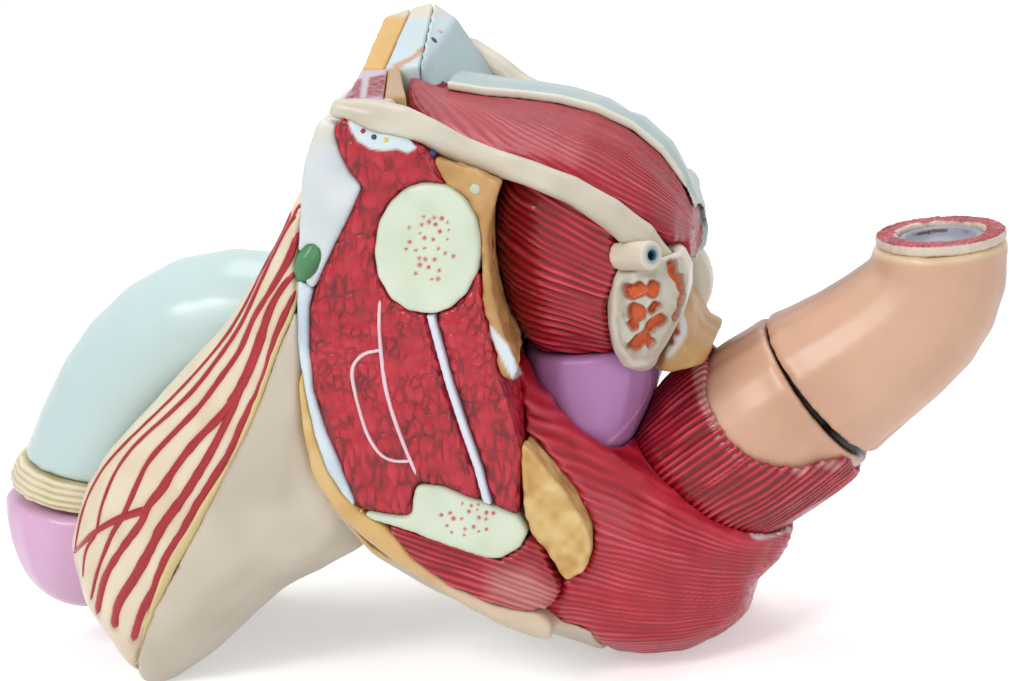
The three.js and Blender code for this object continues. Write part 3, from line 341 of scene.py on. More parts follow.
def cast(node, slot, paint_name, body="pelvis", voxel=0.9, rounds=25, grow=0.1, levels=1, corner=0.16,
         pad=0.0, mould=None):
    """A smooth piece over a CAD node, which pad thickens first. mould(skin) sculpts and paints it."""
    piece = merged_copy(f"painted_{node}", node)
    if pad:
        form = Skin(piece)
        form.rise(np.full(len(form.points), pad))
        form.write()
    applied(piece, "REMESH", mode="VOXEL", voxel_size=voxel * MM)
    round_forms(piece.data, voxel * MM, rounds, corner)
    if levels:
        applied(piece, "SUBSURF", levels=levels, subdivision_type="CATMULL_CLARK")
    skin = Skin(piece)
    skin.rise(np.full(len(skin.points), grow))
    if mould:
        mould(skin)
    skin.write()
    piece.data.materials.clear()
    piece.data.materials.append(bpy.data.materials[paint_name])
    piece.data.shade_smooth()
    return placed(piece, slot, body, node)


def placed(piece, slot, body, *nodes):
    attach(piece, body)
    if nodes:
        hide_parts(*nodes)
    return piece


def mirror_image(piece, name):
    mesh = piece.data.copy()
    mesh.transform(Matrix.Scale(-1, 4, (0, 1, 0)))
    mesh.flip_normals()
    return new_piece(name, mesh)


def cast_pair(node, slot, paint_name, body="pelvis", **settings):
    """The left piece, which is given back, and its mirror image on the right."""
    left = cast(f"{node}_left", slot, paint_name, body, **settings)
    placed(mirror_image(left, f"painted_{node}_right"), slot, body, f"{node}_right")
    return left


# Thin trim on a cast piece: raised bands and small domes, placed by the pixels that show them. Each has
# its mirror image on the right side unless it is said to be single.
BAND_SECTION = [(-1, -0.8), (-0.93, 0.35), (-0.55, 0.85), (0, 1), (0.55, 0.85), (0.93, 0.35), (1, -0.8)]


def trim(name, shape, slot, paint_name, body="pelvis", single=False):
    bmesh.ops.recalc_face_normals(shape, faces=shape.faces)
    bmesh.ops.scale(shape, vec=(MM, MM, MM), verts=shape.verts)
    mesh = bpy.data.meshes.new(name)
    shape.to_mesh(mesh)
    shape.free()
    mesh.materials.append(bpy.data.materials[paint_name])
    mesh.shade_smooth()
    if single:
        placed(new_piece(name, mesh), slot, body)
        return
    left = placed(new_piece(f"{name}_left", mesh), slot, body)
    placed(mirror_image(left, f"{name}_right"), slot, body)


def bands(name, piece, lines, height, slot, paint_name, uneven=0.12):
    """lines holds, for each band, its pixels and its widths along them in millimetres."""
    skin = Skin(piece)
    shape = bmesh.new()
    for pixels, widths in lines:
        met = skin.met(curve(pixels, 7))
        places, normals = (np.array([pair[k] for pair in met]) for k in (0, 1))
        for _ in range(4):
            places[1:-1] = places[1:-1] / 2 + (places[:-2] + places[2:]) / 4
            normals[1:-1] = normals[1:-1] / 2 + (normals[:-2] + normals[2:]) / 4
        steps = np.linalg.norm(np.diff(places, axis=0), axis=1)
        along = np.concatenate([[0], np.cumsum(steps)])
        width = spread(widths, along / along[-1]) * (1 + uneven * clouds(places, 2.2, 17))
        to_end = np.minimum(along, along[-1] - along)
        width *= np.sqrt(np.maximum(1 - (1 - np.minimum(2 * to_end / width, 1)) ** 2, 0.02))
        tangent = np.gradient(places, axis=0)
        rings = []
        for place, normal, run, wide in zip(places, normals, tangent, width):
            aside = np.cross(normal, run)
            aside /= np.linalg.norm(aside)
            rise = normal / np.linalg.norm(normal) * height * min(1, wide / np.max(width) + 0.4)
            section = [place + aside * x * wide / 2 + rise * z for x, z in BAND_SECTION]
            rings.append([shape.verts.new(corner) for corner in section])
        for one, two in zip(rings, rings[1:]):
            for i in range(len(one)):
                j = (i + 1) % len(one)
                shape.faces.new((one[i], one[j], two[j], two[i]))
        shape.faces.new(rings[0])
        shape.faces.new(rings[-1])
    trim(name, shape, slot, paint_name)


def dome(name, piece, pixel, radius, slot, paint_name, body="pelvis", flat=0.4, single=False):
    place, normal = Skin(piece).met([pixel])[0]
    turn = Vector(normal).to_track_quat("Z", "Y").to_matrix().to_4x4()
    size = Matrix.Diagonal((radius, radius, radius * flat, 1))
    shape = bmesh.new()
    bmesh.ops.create_uvsphere(shape, u_segments=20, v_segments=10, radius=1,
                              matrix=Matrix.Translation(place) @ turn @ size)
    trim(name, shape, slot, paint_name, body, single)


# Paint: every material is painted PVC. Its colour runs from grooves to ridges, is mottled like sprayed
# paint, and takes other colours where a painted value says so; the coat and grain give its gloss.
def colour(code):
    channels = [int(code[i:i + 2], 16) / 255 for i in (1, 3, 5)]
    linear = [c / 12.92 if c <= 0.04045 else ((c + 0.055) / 1.055) ** 2.4 for c in channels]
    return (*linear, 1.0)


def add(tree, kind, settings=None, inputs=None):
    node = tree.nodes.new("ShaderNode" + kind)
    for key, value in (settings or {}).items():
        setattr(node, key, value)
    for key, value in (inputs or {}).items():
        if isinstance(value, bpy.types.NodeSocket):
            tree.links.new(value, node.inputs[key])
        else:
            node.inputs[key].default_value = value
    return node


def worked_out(tree, operation, *values):
    return add(tree, "Math", {"operation": operation}, dict(enumerate(values))).outputs[0]


def paint(name, base, groove=None, ridge=None, over=(), roughness=0.36, coat=0.25, mottle=0.05, grain=0.12,
          blotch=None, fibred=False, celled=False, polish=0.2):
    """over lists (painted value, colour) pairs, laid on in that order. A fibred or celled paint draws finer
    ridges or grooves, from the values that the skin keeps for them."""
    material = bpy.data.materials.new(name)
    material.use_nodes = True
    tree = material.node_tree
    shader = tree.nodes["Principled BSDF"]
    place = add(tree, "TexCoord").outputs["Object"]

    def painted(value):
        return add(tree, "Attribute", {"attribute_name": value}).outputs["Fac"]

    def laid_on(under, amount, code):
        return add(tree, "Mix", {"data_type": "RGBA"}, {0: amount, 6: under, 7: colour(code)}).outputs[2]

    relief = painted("relief")
    ridges = None
    if celled:
        ridges = add(tree, "MapRange", {"interpolation_type": "SMOOTHSTEP"},
                     {"Value": painted("edge"), "From Min": 0.02, "From Max": 0.26, "To Min": -1.0,
                      "To Max": 0.0}).outputs[0]
        relief = worked_out(tree, "MULTIPLY_ADD", ridges, 0.3, relief)
    # The fine fibre waves lighten the crests, as a painted highlight, and darken the grooves.
    if fibred:
        wave = worked_out(tree, "COSINE", worked_out(tree, "MULTIPLY", painted("cycles"), 2 * math.pi))
        ridges = worked_out(tree, "MULTIPLY", wave, painted("fibre"))
        relief = worked_out(tree, "MULTIPLY_ADD", ridges, 0.28, relief)
    ramp = add(tree, "ValToRGB", inputs={"Fac": relief})
    stops = ramp.color_ramp.elements
    stops[0].color = colour(groove or base)
    stops[1].color = colour(ridge or base)
    stops.new(0.5).color = colour(base)
    shade = ramp.outputs["Color"]
    spray = add(tree, "TexNoise", inputs={"Vector": place, "Scale": 90.0, "Detail": 5.0, "Roughness": 0.6})
    if blotch:
        amount = add(tree, "MapRange", inputs={"Value": spray.outputs["Fac"], "From Min": 0.52,
                                               "From Max": 0.75, "To Max": 0.55})
        shade = laid_on(shade, amount.outputs["Result"], blotch)
    for value, code in over:
        shade = laid_on(shade, painted(value), code)
    tone = add(tree, "MapRange", inputs={"Value": spray.outputs["Fac"], "From Min": 0.25, "From Max": 0.75,
                                         "To Min": 1 - mottle, "To Max": 1 + mottle})
    sprayed = add(tree, "HueSaturation", inputs={"Color": shade, "Value": tone.outputs["Result"]})
    fine = add(tree, "TexNoise", inputs={"Vector": place, "Scale": 900.0, "Detail": 3.0})
    gloss = add(tree, "MapRange", inputs={"Value": fine.outputs["Fac"], "To Min": roughness - 0.06,
                                          "To Max": roughness + 0.08})
    bump = add(tree, "Bump", inputs={"Height": fine.outputs["Fac"], "Strength": grain, "Distance": 0.0002})
    if ridges is not None:
        swell = add(tree, "Bump", inputs={"Height": ridges, "Strength": 0.6,
                                          "Distance": 0.0004 if celled else 0.00015})
        tree.links.new(swell.outputs["Normal"], bump.inputs["Normal"])
    tree.links.new(sprayed.outputs["Color"], shader.inputs["Base Color"])
    tree.links.new(gloss.outputs["Result"], shader.inputs["Roughness"])
    tree.links.new(bump.outputs["Normal"], shader.inputs["Normal"])
    shader.inputs["Specular IOR Level"].default_value = 0.25
    shader.inputs["Coat Weight"].default_value = coat
    shader.inputs["Coat Roughness"].default_value = polish


# Cut muscle: the lighter ridge colour on the fascicle tops is a painted highlight.
paint("cut_muscle_paint", "#B81B2E", "#6E0B18", "#CB3B4D", roughness=0.3, coat=0.45, polish=0.16,
      celled=True, over=[("patch", "#D5E6EA"), ("purple", "#8E2438"), ("lilac", "#B8A3B8")])
# Striped muscle: the pale pink ridge colour on the fibre crests is a painted highlight.
paint("striped_muscle_paint", "#B81A2E", "#6E0A16", "#D45464", roughness=0.3, coat=0.4, polish=0.14,
      over=[("fringe", "#E0A8A4")], fibred=True)
# Dome muscle: its pale pink ridge colour, laid on the fibres and streaks, is a painted highlight.
paint("dome_muscle_paint", "#AC1B2F", "#861021", "#C8707C", roughness=0.36, fibred=True)
# Sling muscle: the pale pink ridge colour on the rim and the fibre crests is a painted highlight.
paint("sling_muscle_paint", "#BE2036", "#941325", "#D85468", roughness=0.3, coat=0.4, polish=0.16,
      over=[("lip", "#E8D9DA"), ("white", "#DCE8F0")], fibred=True)
paint("bone_paint", "#D5E0CA", "#C3CFB4", "#DEE8D4", over=[("dots", "#C23A50")], roughness=0.4)
paint("membrane_paint", "#DDE2EE", roughness=0.34)
paint("thin_membrane_paint", "#F2E6EB", "#EACDD6", roughness=0.34)
paint("fat_paint", "#C29660", "#A57B44", "#D0AA74", over=[("pale", "#DCE6EA"), ("stain", "#B2452E")],
      roughness=0.44, coat=0.12, blotch="#B5834C")
paint("lobed_fat_paint", "#D6B072", "#BA8C4C", "#E3C88E", roughness=0.42, coat=0.18)
paint("fascia_paint", "#D0DADC", "#C3CFD4", "#DCE4E6", roughness=0.36, blotch="#D8D4DF",
      over=[("cream", "#E3DCD0")])
paint("band_paint", "#D2E0E9", "#BACDDD", "#DEE9F0", roughness=0.32)
paint("node_paint", "#477E51", "#36623E", "#639569", roughness=0.35)
paint("shaft_paint", "#C3D9D9", coat=0.45, mottle=0.02, grain=0.05)
paint("collar_paint", "#E2D6B6", "#B9A672", "#ECE3CC")
paint("glans_paint", "#DBADD0", coat=0.4, mottle=0.02, grain=0.05)
paint("cord_paint", "#E6D6BC", "#DCC8A6", "#ECDFC9", over=[("halo", "#C79A88")], coat=0.4)
paint("stripe_paint", "#A5141F", roughness=0.28, coat=0.5, blotch="#BE3240", polish=0.14)
paint("ridge_paint", "#E9DAAF", "#DCC894", "#F0E6C6")
paint("scrotal_paint", "#CEC3B2", "#BAAF9E", "#D9D0C1", roughness=0.4, mottle=0.03)
paint("skin_paint", "#DBB578", "#CDA05E", "#E4C791", over=[("outside", "#D3C8B7")], roughness=0.42,
      coat=0.15)
paint("cream_paint", "#D5CDBC", "#C0B7A4", "#DFD8C8", mottle=0.04)
paint("ureter_paint", "#D9D0BE", "#BDB8AE", over=[("rim", "#9FB2B8"), ("lumen", "#2A5566")])
# Seminal vesicle: the dark brown edge of each pit and the dark crescent inside it are painted shade.
paint("vesicle_paint", "#CFC9BB", "#AFA595", "#DDD7CA",
      over=[("grid", "#BDB9A8"), ("pit_edge_shade", "#6E4530"), ("pit", "#D4602C"), ("pit_shadow", "#8C3418")])
paint("prostate_paint", "#AE7AB0", coat=0.4, mottle=0.03, grain=0.05, over=[("rim", "#D79AC4")],
      polish=0.3)
paint("peritoneum_paint", "#A4B8B8", over=[("edge", "#D9D6C6")])
# Flesh: its dark colour is painted shade along the tube's top and bottom, and the nearly black parting
# colour is painted shade in the gap between its two parts.
paint("flesh_paint", "#D0A489", "#94705C", "#DFB9A0", coat=0.35, mottle=0.05, grain=0.05,
      over=[("cream", "#E3CBA6"), ("red", "#B4283C"), ("parting_shade", "#260B0A")], polish=0.28)
paint("ring_paint", "#AC1C30", "#6A0E1B", "#C44E60", roughness=0.34,
      over=[("lilac", "#A58B96"), ("cream", "#D9C9B8")])
paint("lumen_paint", "#9294A4", roughness=0.4, over=[("dark", "#5A4038")])
paint("sheath_paint", "#C6D7DD", roughness=0.4, blotch="#D3CFDD",
      over=[("beige", "#DED2BC"), ("streak", "#C98A5E")])
paint("wall_fat_paint", "#DDAE60", "#CFA05A", roughness=0.44, blotch="#E4C287",
      over=[("beige", "#DED2BC"), ("brown", "#A98A6C")])
paint("lining_paint", "#A4BABF", roughness=0.38, over=[("pale", "#C6D7DD"), ("beige", "#D5CDBE")])
paint("red_vessel_paint", "#A81F2C")
paint("blue_vessel_paint", "#2E4674")
paint("yellow_nerve_paint", "#DFC850")
paint("core_paint", "#C9C2B4", roughness=0.5, coat=0.0)
paint("pin_metal", "#C9CCD0", roughness=0.3, coat=0.0)


# Cut face of the pelvis: a muscle plate of bulging fascicles, in which lie two bones with red marrow
# dots, and white membranes drawn between them.
FASCICLE = (2.0, 2.6, 4.6)
FASCICLE_HEIGHT = 0.5
LONG_FASCICLES_BELOW = 95
SEPTUM_RISE = 0.45
THIN_MEMBRANE = [(380, 300), (379, 325), (381, 352), (385, 385), (393, 415), (402, 440), (411, 462),
                 (424, 490)]
MEMBRANE_LOOP = [(381, 350), (366, 353), (356, 361), (352, 372), (354, 388), (360, 412), (368, 436),
                 (380, 454), (394, 461), (410, 461)]
PUBIC_MARROW = {"centre": (430, 247), "reach": (25, 37), "dots": 30}
ISCHIAL_MARROW = {"centre": (468, 519), "reach": (30, 17), "dots": 20}
WHITE_PATCH = [(489, 324), (497, 333), (508, 345), (516, 360), (522, 374), (513, 380), (505, 366),
               (497, 350), (491, 338)]
VESSEL_PATCH = [(348, 120), (357, 116), (372, 118), (392, 126), (408, 138), (417, 148), (408, 153),
                (397, 149), (384, 151), (370, 149), (358, 141), (351, 131)]


def mould_cut_muscle(skin):
    face = 0.3 + 0.7 * skin.facing((0, -1, 0))
    low = smooth_step((LONG_FASCICLES_BELOW - skin.points[:, 2]) / 40)[:, None]
    uneven = np.stack([skin.clouds(2.4, seed) for seed in (14, 15, 16)], axis=1)
    drawn_out = np.hstack([1 + 0.1 * low, np.ones_like(low), 1 - 0.25 * low])
    edge = cell_edges(skin.points * drawn_out + 0.5 * uneven, FASCICLE, 4)
    bulge = smooth_step(edge / 0.7)
    patch = skin.region(VESSEL_PATCH)
    skin.rise((FASCICLE_HEIGHT * (bulge - 0.5) + 0.12 * uneven[:, 0]) * face * (1 - patch) + 0.3 * patch)
    # Painted highlight: the fascicles are lighter towards their tops.
    skin.relief = 0.42 + 0.2 * bulge + 0.26 * uneven[:, 1] + 0.1 * skin.clouds(7, 9)
    skin.value("edge", edge + 0.3 * np.maximum(skin.clouds(2.8, 17), 0) + patch)
    skin.paint("patch", np.maximum(patch, skin.region(WHITE_PATCH)))


def mould_bone(marrow, seed):
    def mould(skin):
        random = np.random.default_rng(seed)
        centre, reach = np.array(marrow["centre"]), np.array(marrow["reach"])
        pixels = []
        while len(pixels) < marrow["dots"]:
            offset = random.uniform(-1, 1, 2)
            pixel = centre + offset * reach
            if offset @ offset < 1 and all(np.linalg.norm(pixel - other) > 6 for other in pixels):
                pixels.append(pixel)
        places = skin.on_surface(pixels)
        dots = skin.spots(places, random.uniform(0.28, 0.5, len(places)))
        skin.rise(0.15 * skin.clouds(3.5, seed) - 0.15 * dots)
        skin.relief = 0.5 + 0.35 * skin.clouds(5, seed + 1)
        skin.paint("dots", dots)
    return mould


def mould_septum(skin):
    skin.points[:, 1] -= SEPTUM_RISE * skin.facing((0, -1, 0))


near_wall = cast_pair("pelvic_wall", "cut_muscle", "cut_muscle_paint", voxel=0.9, rounds=12, grow=0.18,
                      mould=mould_cut_muscle)
cast_pair("pubic_bone", "bone", "bone_paint", voxel=0.8, rounds=20, grow=0.25,
          mould=mould_bone(PUBIC_MARROW, 3))
cast_pair("ischial_ramus", "bone", "bone_paint", voxel=0.7, rounds=15, grow=0.18,
          mould=mould_bone(ISCHIAL_MARROW, 5))
cast_pair("obturator_membrane", "membrane", "membrane_paint", voxel=0.4, rounds=14, grow=-0.15, levels=0,
          mould=mould_septum)
bands("thin_membrane", near_wall, [(THIN_MEMBRANE, (0.8, 0.9, 0.75)), (MEMBRANE_LOOP, (0.75, 0.8, 0.7))],
      0.45, "membrane", "thin_membrane_paint")
for name, pixel, radius, flat, slot, paint_name in (
        ("patch_artery", (363, 131), 0.55, 0.4, "cut_muscle", "red_vessel_paint"),
        ("patch_vein", (374, 137), 0.6, 0.4, "fascia_blue", "blue_vessel_paint"),
        ("patch_nerve", (386, 140), 0.55, 0.4, "fat", "yellow_nerve_paint"),
        ("ridge_artery", (421, 150), 0.95, 0.9, "cut_muscle", "red_vessel_paint"),
        ("ridge_vein", (432, 154), 0.95, 0.9, "fascia_blue", "blue_vessel_paint")):
    dome(name, near_wall, pixel, radius, slot, paint_name, flat=flat)


# Fat and fascia around the cut face: ochre fat behind it with a pale oval vessel, pale fascia and a
# light-blue band in front of it, and the green lymph node at the band's top.
FAT_VESSEL = (475, 189)
LOBED_BELOW = 90
CREAM_ABOVE = 121


def mould_fat(skin):
    lobes = cells(skin.points, 4.5, 11, 0.6)
    low = smooth_step((LOBED_BELOW - skin.points[:, 2]) / 12)
    skin.rise(0.5 * (lobes - 0.5) * low + 0.2 * skin.clouds(1.8, 3))
    skin.relief = 0.5 + 0.25 * skin.clouds(6, 5) + 0.3 * (lobes - 0.6) * low + 0.2 * skin.clouds(1.8, 3)
    skin.paint("pale", skin.region(WHITE_PATCH))


def mould_lobed_fat(skin):
    lobes = skin.clouds((2.6, 3, 3.4), 21) + 0.5 * skin.clouds(1.6, 25)
    skin.rise(0.42 * lobes)
    skin.relief = 0.5 + 0.4 * lobes


def mould_fascia(skin):
    skin.rise(0.18 * skin.clouds(7, 31))
    skin.relief = 0.5 + 0.45 * skin.clouds(6, 33)


def mould_inguinal(skin):
    mould_fascia(skin)
    skin.paint("cream", 0.8 * skin.above(CREAM_ABOVE, 9))


near_fat = cast_pair("retropubic_fat", "fat", "fat_paint", voxel=0.5, levels=0, rounds=40,
                     mould=mould_fat)
dome("fat_vessel", near_fat, FAT_VESSEL, 1.15, "bone", "bone_paint")
cast_pair("ischioanal_fat", "fat", "lobed_fat_paint", voxel=0.7, rounds=25, grow=0.2,
          mould=mould_lobed_fat)
cast_pair("fascia_band", "fascia_blue", "band_paint", voxel=0.65, levels=0, rounds=20, grow=0.2,
          mould=mould_fascia)
cast_pair("lymph_node", "node_green", "node_paint", voxel=0.35, rounds=15, levels=0, grow=0.2,
          mould=mould_fascia)
for side in ("left", "right"):
    cast(f"inguinal_fascia_{side}", "fascia", "fascia_paint", voxel=0.8, rounds=25, grow=0.18,
         mould=mould_inguinal)


# Abdominal wall: the near half ends in cut muscle and fat, and the far half stands higher, with an ochre
# front, a pale sheath, and a grey-blue lining on which two vessels end.
MUSCLE_BLOCKS = [[(345, 99), (351, 80), (362, 78), (360, 98)], [(366, 97), (369, 77), (386, 74), (384, 96)]]
NEAR_TOP = 132.4
FAR_TOP = 138.6
CREST_STREAK = [(425, 47), (417, 54), (408, 60), (398, 65)]
PALE_LINING = [(424, -5), (458, 12), (455, 20), (447, 31), (438, 46), (424, 66), (420, 40)]


def mould_block(skin):
    grain = cells(skin.points, (1.2, 1.2, 1.6), 43, 0.35)
    blocks = sum(skin.region(corners) for corners in MUSCLE_BLOCKS)
    top = skin.above(NEAR_TOP, 0.4)
    skin.rise(0.25 * (grain - 0.5) * blocks - 0.1 * (1 - blocks))
    skin.relief = 0.2 + 0.5 * grain
    skin.value("edge", np.ones(len(grain)))
    skin.paint("purple", blocks * (0.6 + 0.4 * grain))
    skin.paint("patch", skin.facing((0, -1, 0)) * (1 - blocks) * 0.75)
    skin.paint("lilac", top * (1 - blocks))


def mould_slab(skin):
    skin.rise(0.07 * skin.clouds(7, 31))
    skin.relief = 0.5 + 0.4 * skin.clouds(6, 33)
    skin.paint("beige", 0.8 * skin.above(FAR_TOP, 1.5))


def mould_near_fat(skin):
    mould_slab(skin)
    skin.paint("brown", 0.85 * np.maximum(skin.facing((0, -1, 0)), skin.facing((0, 0, 1))))


def mould_sheath(skin):
    mould_slab(skin)
    skin.paint("streak", 0.85 * skin.line(CREST_STREAK, (1.0, 1.8, 2.6)))


def mould_lining(skin):
    mould_slab(skin)
    skin.paint("pale", skin.region(PALE_LINING, 10))


slab = {"voxel": 0.45, "rounds": 45, "levels": 0, "grow": 0.08, "corner": 0.3}
cast("rectus_muscle_left", "cut_muscle", "cut_muscle_paint", mould=mould_block, **slab)
cast("wall_fat_left", "fat", "wall_fat_paint", mould=mould_near_fat, **slab)
cast("wall_fat_right", "fat", "wall_fat_paint", mould=mould_slab, **slab)
cast("rectus_sheath_right", "fascia", "sheath_paint", mould=mould_sheath, **slab)
far_lining = cast("wall_lining_right", "peritoneum", "lining_paint", mould=mould_lining, **slab)
dome("sheath_artery", far_lining, (439.5, 31), 0.75, "glans_pink", "glans_paint", single=True)
dome("sheath_vein", far_lining, (434, 40), 0.85, "fascia_blue", "blue_vessel_paint", single=True)


# Penis: a glossy pale blue shaft, a cream collar with ribs around it, and a pink glans. Shaft and glans
# are only a little uneven, so that their highlights stay broad and soft.
def mould_plain(skin):
    skin.rise(0.08 * skin.clouds(12, 51))


COLLAR_RING = 1.45


def mould_collar(skin):
    offset = skin.points - np.mean(skin.points, axis=0)
    axis = np.linalg.eigh(np.cov(offset.T))[1][:, 0]
    rings = np.cos(2 * math.pi * (offset @ axis + 0.25 * skin.clouds(9, 53)) / COLLAR_RING)
    skin.rise(0.24 * rings)
    skin.relief = 0.5 + 0.32 * rings + 0.2 * skin.clouds(5, 52)


cast("penis_shaft", "penis_blue", "shaft_paint", voxel=1.0, levels=0, rounds=180, grow=0.15,
     mould=mould_plain)
cast("foreskin_collar", "cream", "collar_paint", voxel=0.8, rounds=30, grow=0.15, mould=mould_collar)
cast("glans", "glans_pink", "glans_paint", voxel=0.8, levels=0, rounds=180, grow=0.15, mould=mould_plain)


# Spermatic cord and testis: red muscle stripes fan out over cream, fork, and cross near the lower end.
# A pale ridge parts them from the plain scrotum behind.
STRIPES = {
    "outer": [(302, 175), (297, 197), (284, 231), (267, 262), (250, 296), (233, 326), (213, 353),
              (192, 377), (169, 401), (141, 428), (118, 451), (101, 472), (87, 499), (79, 526),
              (75, 553)],
    "second": [(305, 203), (287, 228), (270, 262), (253, 299), (240, 326), (219, 357), (196, 387),
               (169, 414), (135, 445), (114, 475), (101, 509), (96, 533), (86, 550), (83, 577)],
    "third": [(300, 232), (294, 246), (286, 264), (267, 296), (253, 319), (240, 350), (219, 380),
              (199, 407), (169, 438), (148, 462), (135, 489), (123, 516), (111, 536), (97, 573),
              (91, 600)],
    "trunk": [(299, 269), (284, 285), (270, 309), (260, 340), (250, 367), (240, 388), (229, 406)],
    "left_fork": [(246, 376), (236, 396), (219, 418), (196, 441), (175, 468), (162, 489), (148, 506),
                  (141, 523), (121, 550), (104, 580), (97, 614)],
    "right_fork": [(248, 372), (239, 394), (230, 414), (213, 448), (199, 472), (182, 499), (162, 526),
                   (152, 546), (135, 577), (118, 604), (114, 628)],
    "last": [(299, 286), (287, 309), (274, 340), (267, 367), (257, 394), (243, 421), (230, 451),
             (213, 479), (196, 506), (182, 533), (165, 560), (155, 587), (141, 614), (133, 641)],
    "crossing": [(74, 553), (94, 533), (118, 519), (148, 509)],
}
STRIPE_WIDTH = {
    "outer": (1.7, 1.4, 1.1, 0.9, 0.7),
    "second": (1.7, 1.5, 1.3, 1.1, 0.7),
    "third": (1.8, 1.5, 1.4, 1.2, 0.7),
    "trunk": (1.2, 1.8, 2.4, 2.2),
    "left_fork": (1.4, 2.0, 2.0, 1.7, 1.9),
    "right_fork": (1.4, 1.9, 2.1, 2.2, 2.0),
    "last": (1.4, 1.6, 1.9, 1.9),
    "crossing": (1.3, 1.5, 1.5, 1.9),
}
CORD_RIDGE = [(299, 268), (297, 290), (291, 314), (281, 335), (270, 364), (259, 396), (248, 425),
              (236, 452), (221, 480), (204.5, 508), (188, 537), (172, 564), (160, 592), (150, 618),
              (143, 643), (138, 664)]


def mould_cord(skin):
    halo = np.zeros(len(skin.points))
    for name, pixels in STRIPES.items():
        halo = np.maximum(halo, skin.line(pixels, np.array(STRIPE_WIDTH[name]) + 0.5))
    skin.rise(0.12 * skin.clouds(4, 61))
    skin.relief = 0.5 + 0.4 * skin.clouds(5, 63)
    skin.paint("halo", 0.55 * halo)


def mould_scrotum(skin):
    skin.rise(0.25 * skin.clouds(9, 71) + 0.08 * skin.clouds(3, 72))
    skin.relief = 0.5 + 0.4 * skin.clouds(10, 73)


near_cord = cast_pair("spermatic_cord", "cream", "cord_paint", voxel=1.3, rounds=90, grow=0.15,
                      mould=mould_cord)
bands("cord_stripes", near_cord, [(pixels, STRIPE_WIDTH[name]) for name, pixels in STRIPES.items()], 0.4,
      "cut_muscle", "stripe_paint", uneven=0.2)
bands("cord_ridge", near_cord, [(CORD_RIDGE, (1.2, 2.2, 2.7, 2.3))], 0.6, "cream", "ridge_paint")
cast_pair("scrotum", "scrotal_skin", "scrotal_paint", voxel=1.0, levels=0, rounds=150, grow=0.15,
          mould=mould_scrotum)


# Perineum: a strip of skin and fat along the underside, which turns beige to the rear, and the cut
# perineal muscle above it.
BEIGE_BEHIND = -16


def mould_skin_strip(skin):
    skin.rise(0.12 * skin.clouds(3, 81))
    skin.relief = 0.5 + 0.4 * skin.clouds(4, 82)
    underside = smooth_step((skin.facing((0, 0.15, -1)) - 0.1) / 0.5)
    rear = 0.75 * smooth_step((skin.points[:, 0] - BEIGE_BEHIND) / 20)
    skin.paint("outside", np.maximum(underside, rear))


PERINEAL_FIBRE = 1.3
PALE_END = [(492, 572), (530, 570), (552, 592), (548, 612), (520, 612), (490, 596)]
PERINEAL_ALONG = np.array([0.93, 0.0, -0.37])
PERINEAL_ACROSS = np.array([0.37, 0.3, 0.93])


def mould_perineal(skin):
    ridge = fibres(skin, skin.points @ PERINEAL_ACROSS, skin.points @ PERINEAL_ALONG, PERINEAL_FIBRE, 84)
    skin.rise(0.35 * (ridge - 0.5) + 0.2 * skin.clouds(3, 86))
    # The fibre crests take the ridge colour, a painted highlight.
    skin.relief = 0.15 + 0.6 * ridge + 0.2 * skin.clouds(4, 87)
    skin.paint("fringe", skin.region(PALE_END, 30) * (0.3 + 0.4 * ridge))


cast_pair("perineal_skin", "fat", "skin_paint", voxel=0.75, levels=0, rounds=120, grow=0.2,
          mould=mould_skin_strip)
cast_pair("perineal_muscle", "cut_muscle", "striped_muscle_paint", voxel=0.7, rounds=30, grow=0.2,
          mould=mould_perineal)


# Pelvic floor: a muscle sling whose fibres sweep back and gather behind the rectum. Its rim is smoother,
# painted lighter as a highlight, and has a pale cut lip.
SLING_FOCUS = at_depth((909, 651), -20)
SLING_REACH = 60
SLING_FIBRE = 1.15
SLING_LIP = [(769, 516), (779, 522), (787, 528)]
SLING_RIM = [(505, 362), (524, 385), (545, 405), (582, 434), (621, 467), (661, 492), (692, 511),
             (722, 532), (762, 540)]


def fan(points, focus, reach):
    """Lengths across and along a fan of lines through focus, the first measured at reach from it."""
    offset = points - focus
    turn = np.mod(np.arctan2(offset[:, 2], offset[:, 0]), 2 * math.pi)
    return turn * reach, np.hypot(offset[:, 0], offset[:, 2])


def mould_sling(skin):
    across, along = fan(skin.points, SLING_FOCUS, SLING_REACH)
    rim = skin.line(SLING_RIM, 5.5)
    ridge = fibres(skin, across, along, SLING_FIBRE, 91, 1 - 0.75 * rim)
    skin.rise(0.2 * (ridge - 0.5) * (1 - 0.7 * rim) + 0.35 * rim + 0.16 * skin.clouds(5, 92))
    # Painted highlight: the rim and the fibre crests are painted lighter.
    skin.relief = 0.22 + 0.42 * ridge * (1 - 0.5 * rim) + 0.18 * rim + 0.14 * skin.clouds(4, 93)
    skin.paint("lip", skin.line(SLING_LIP, 2.0) * 0.8)
    skin.paint("white", skin.region(WHITE_PATCH))


cast_pair("levator_ani", "cut_muscle", "sling_muscle_paint", voxel=1.0, rounds=100, grow=0.15,
          mould=mould_sling)


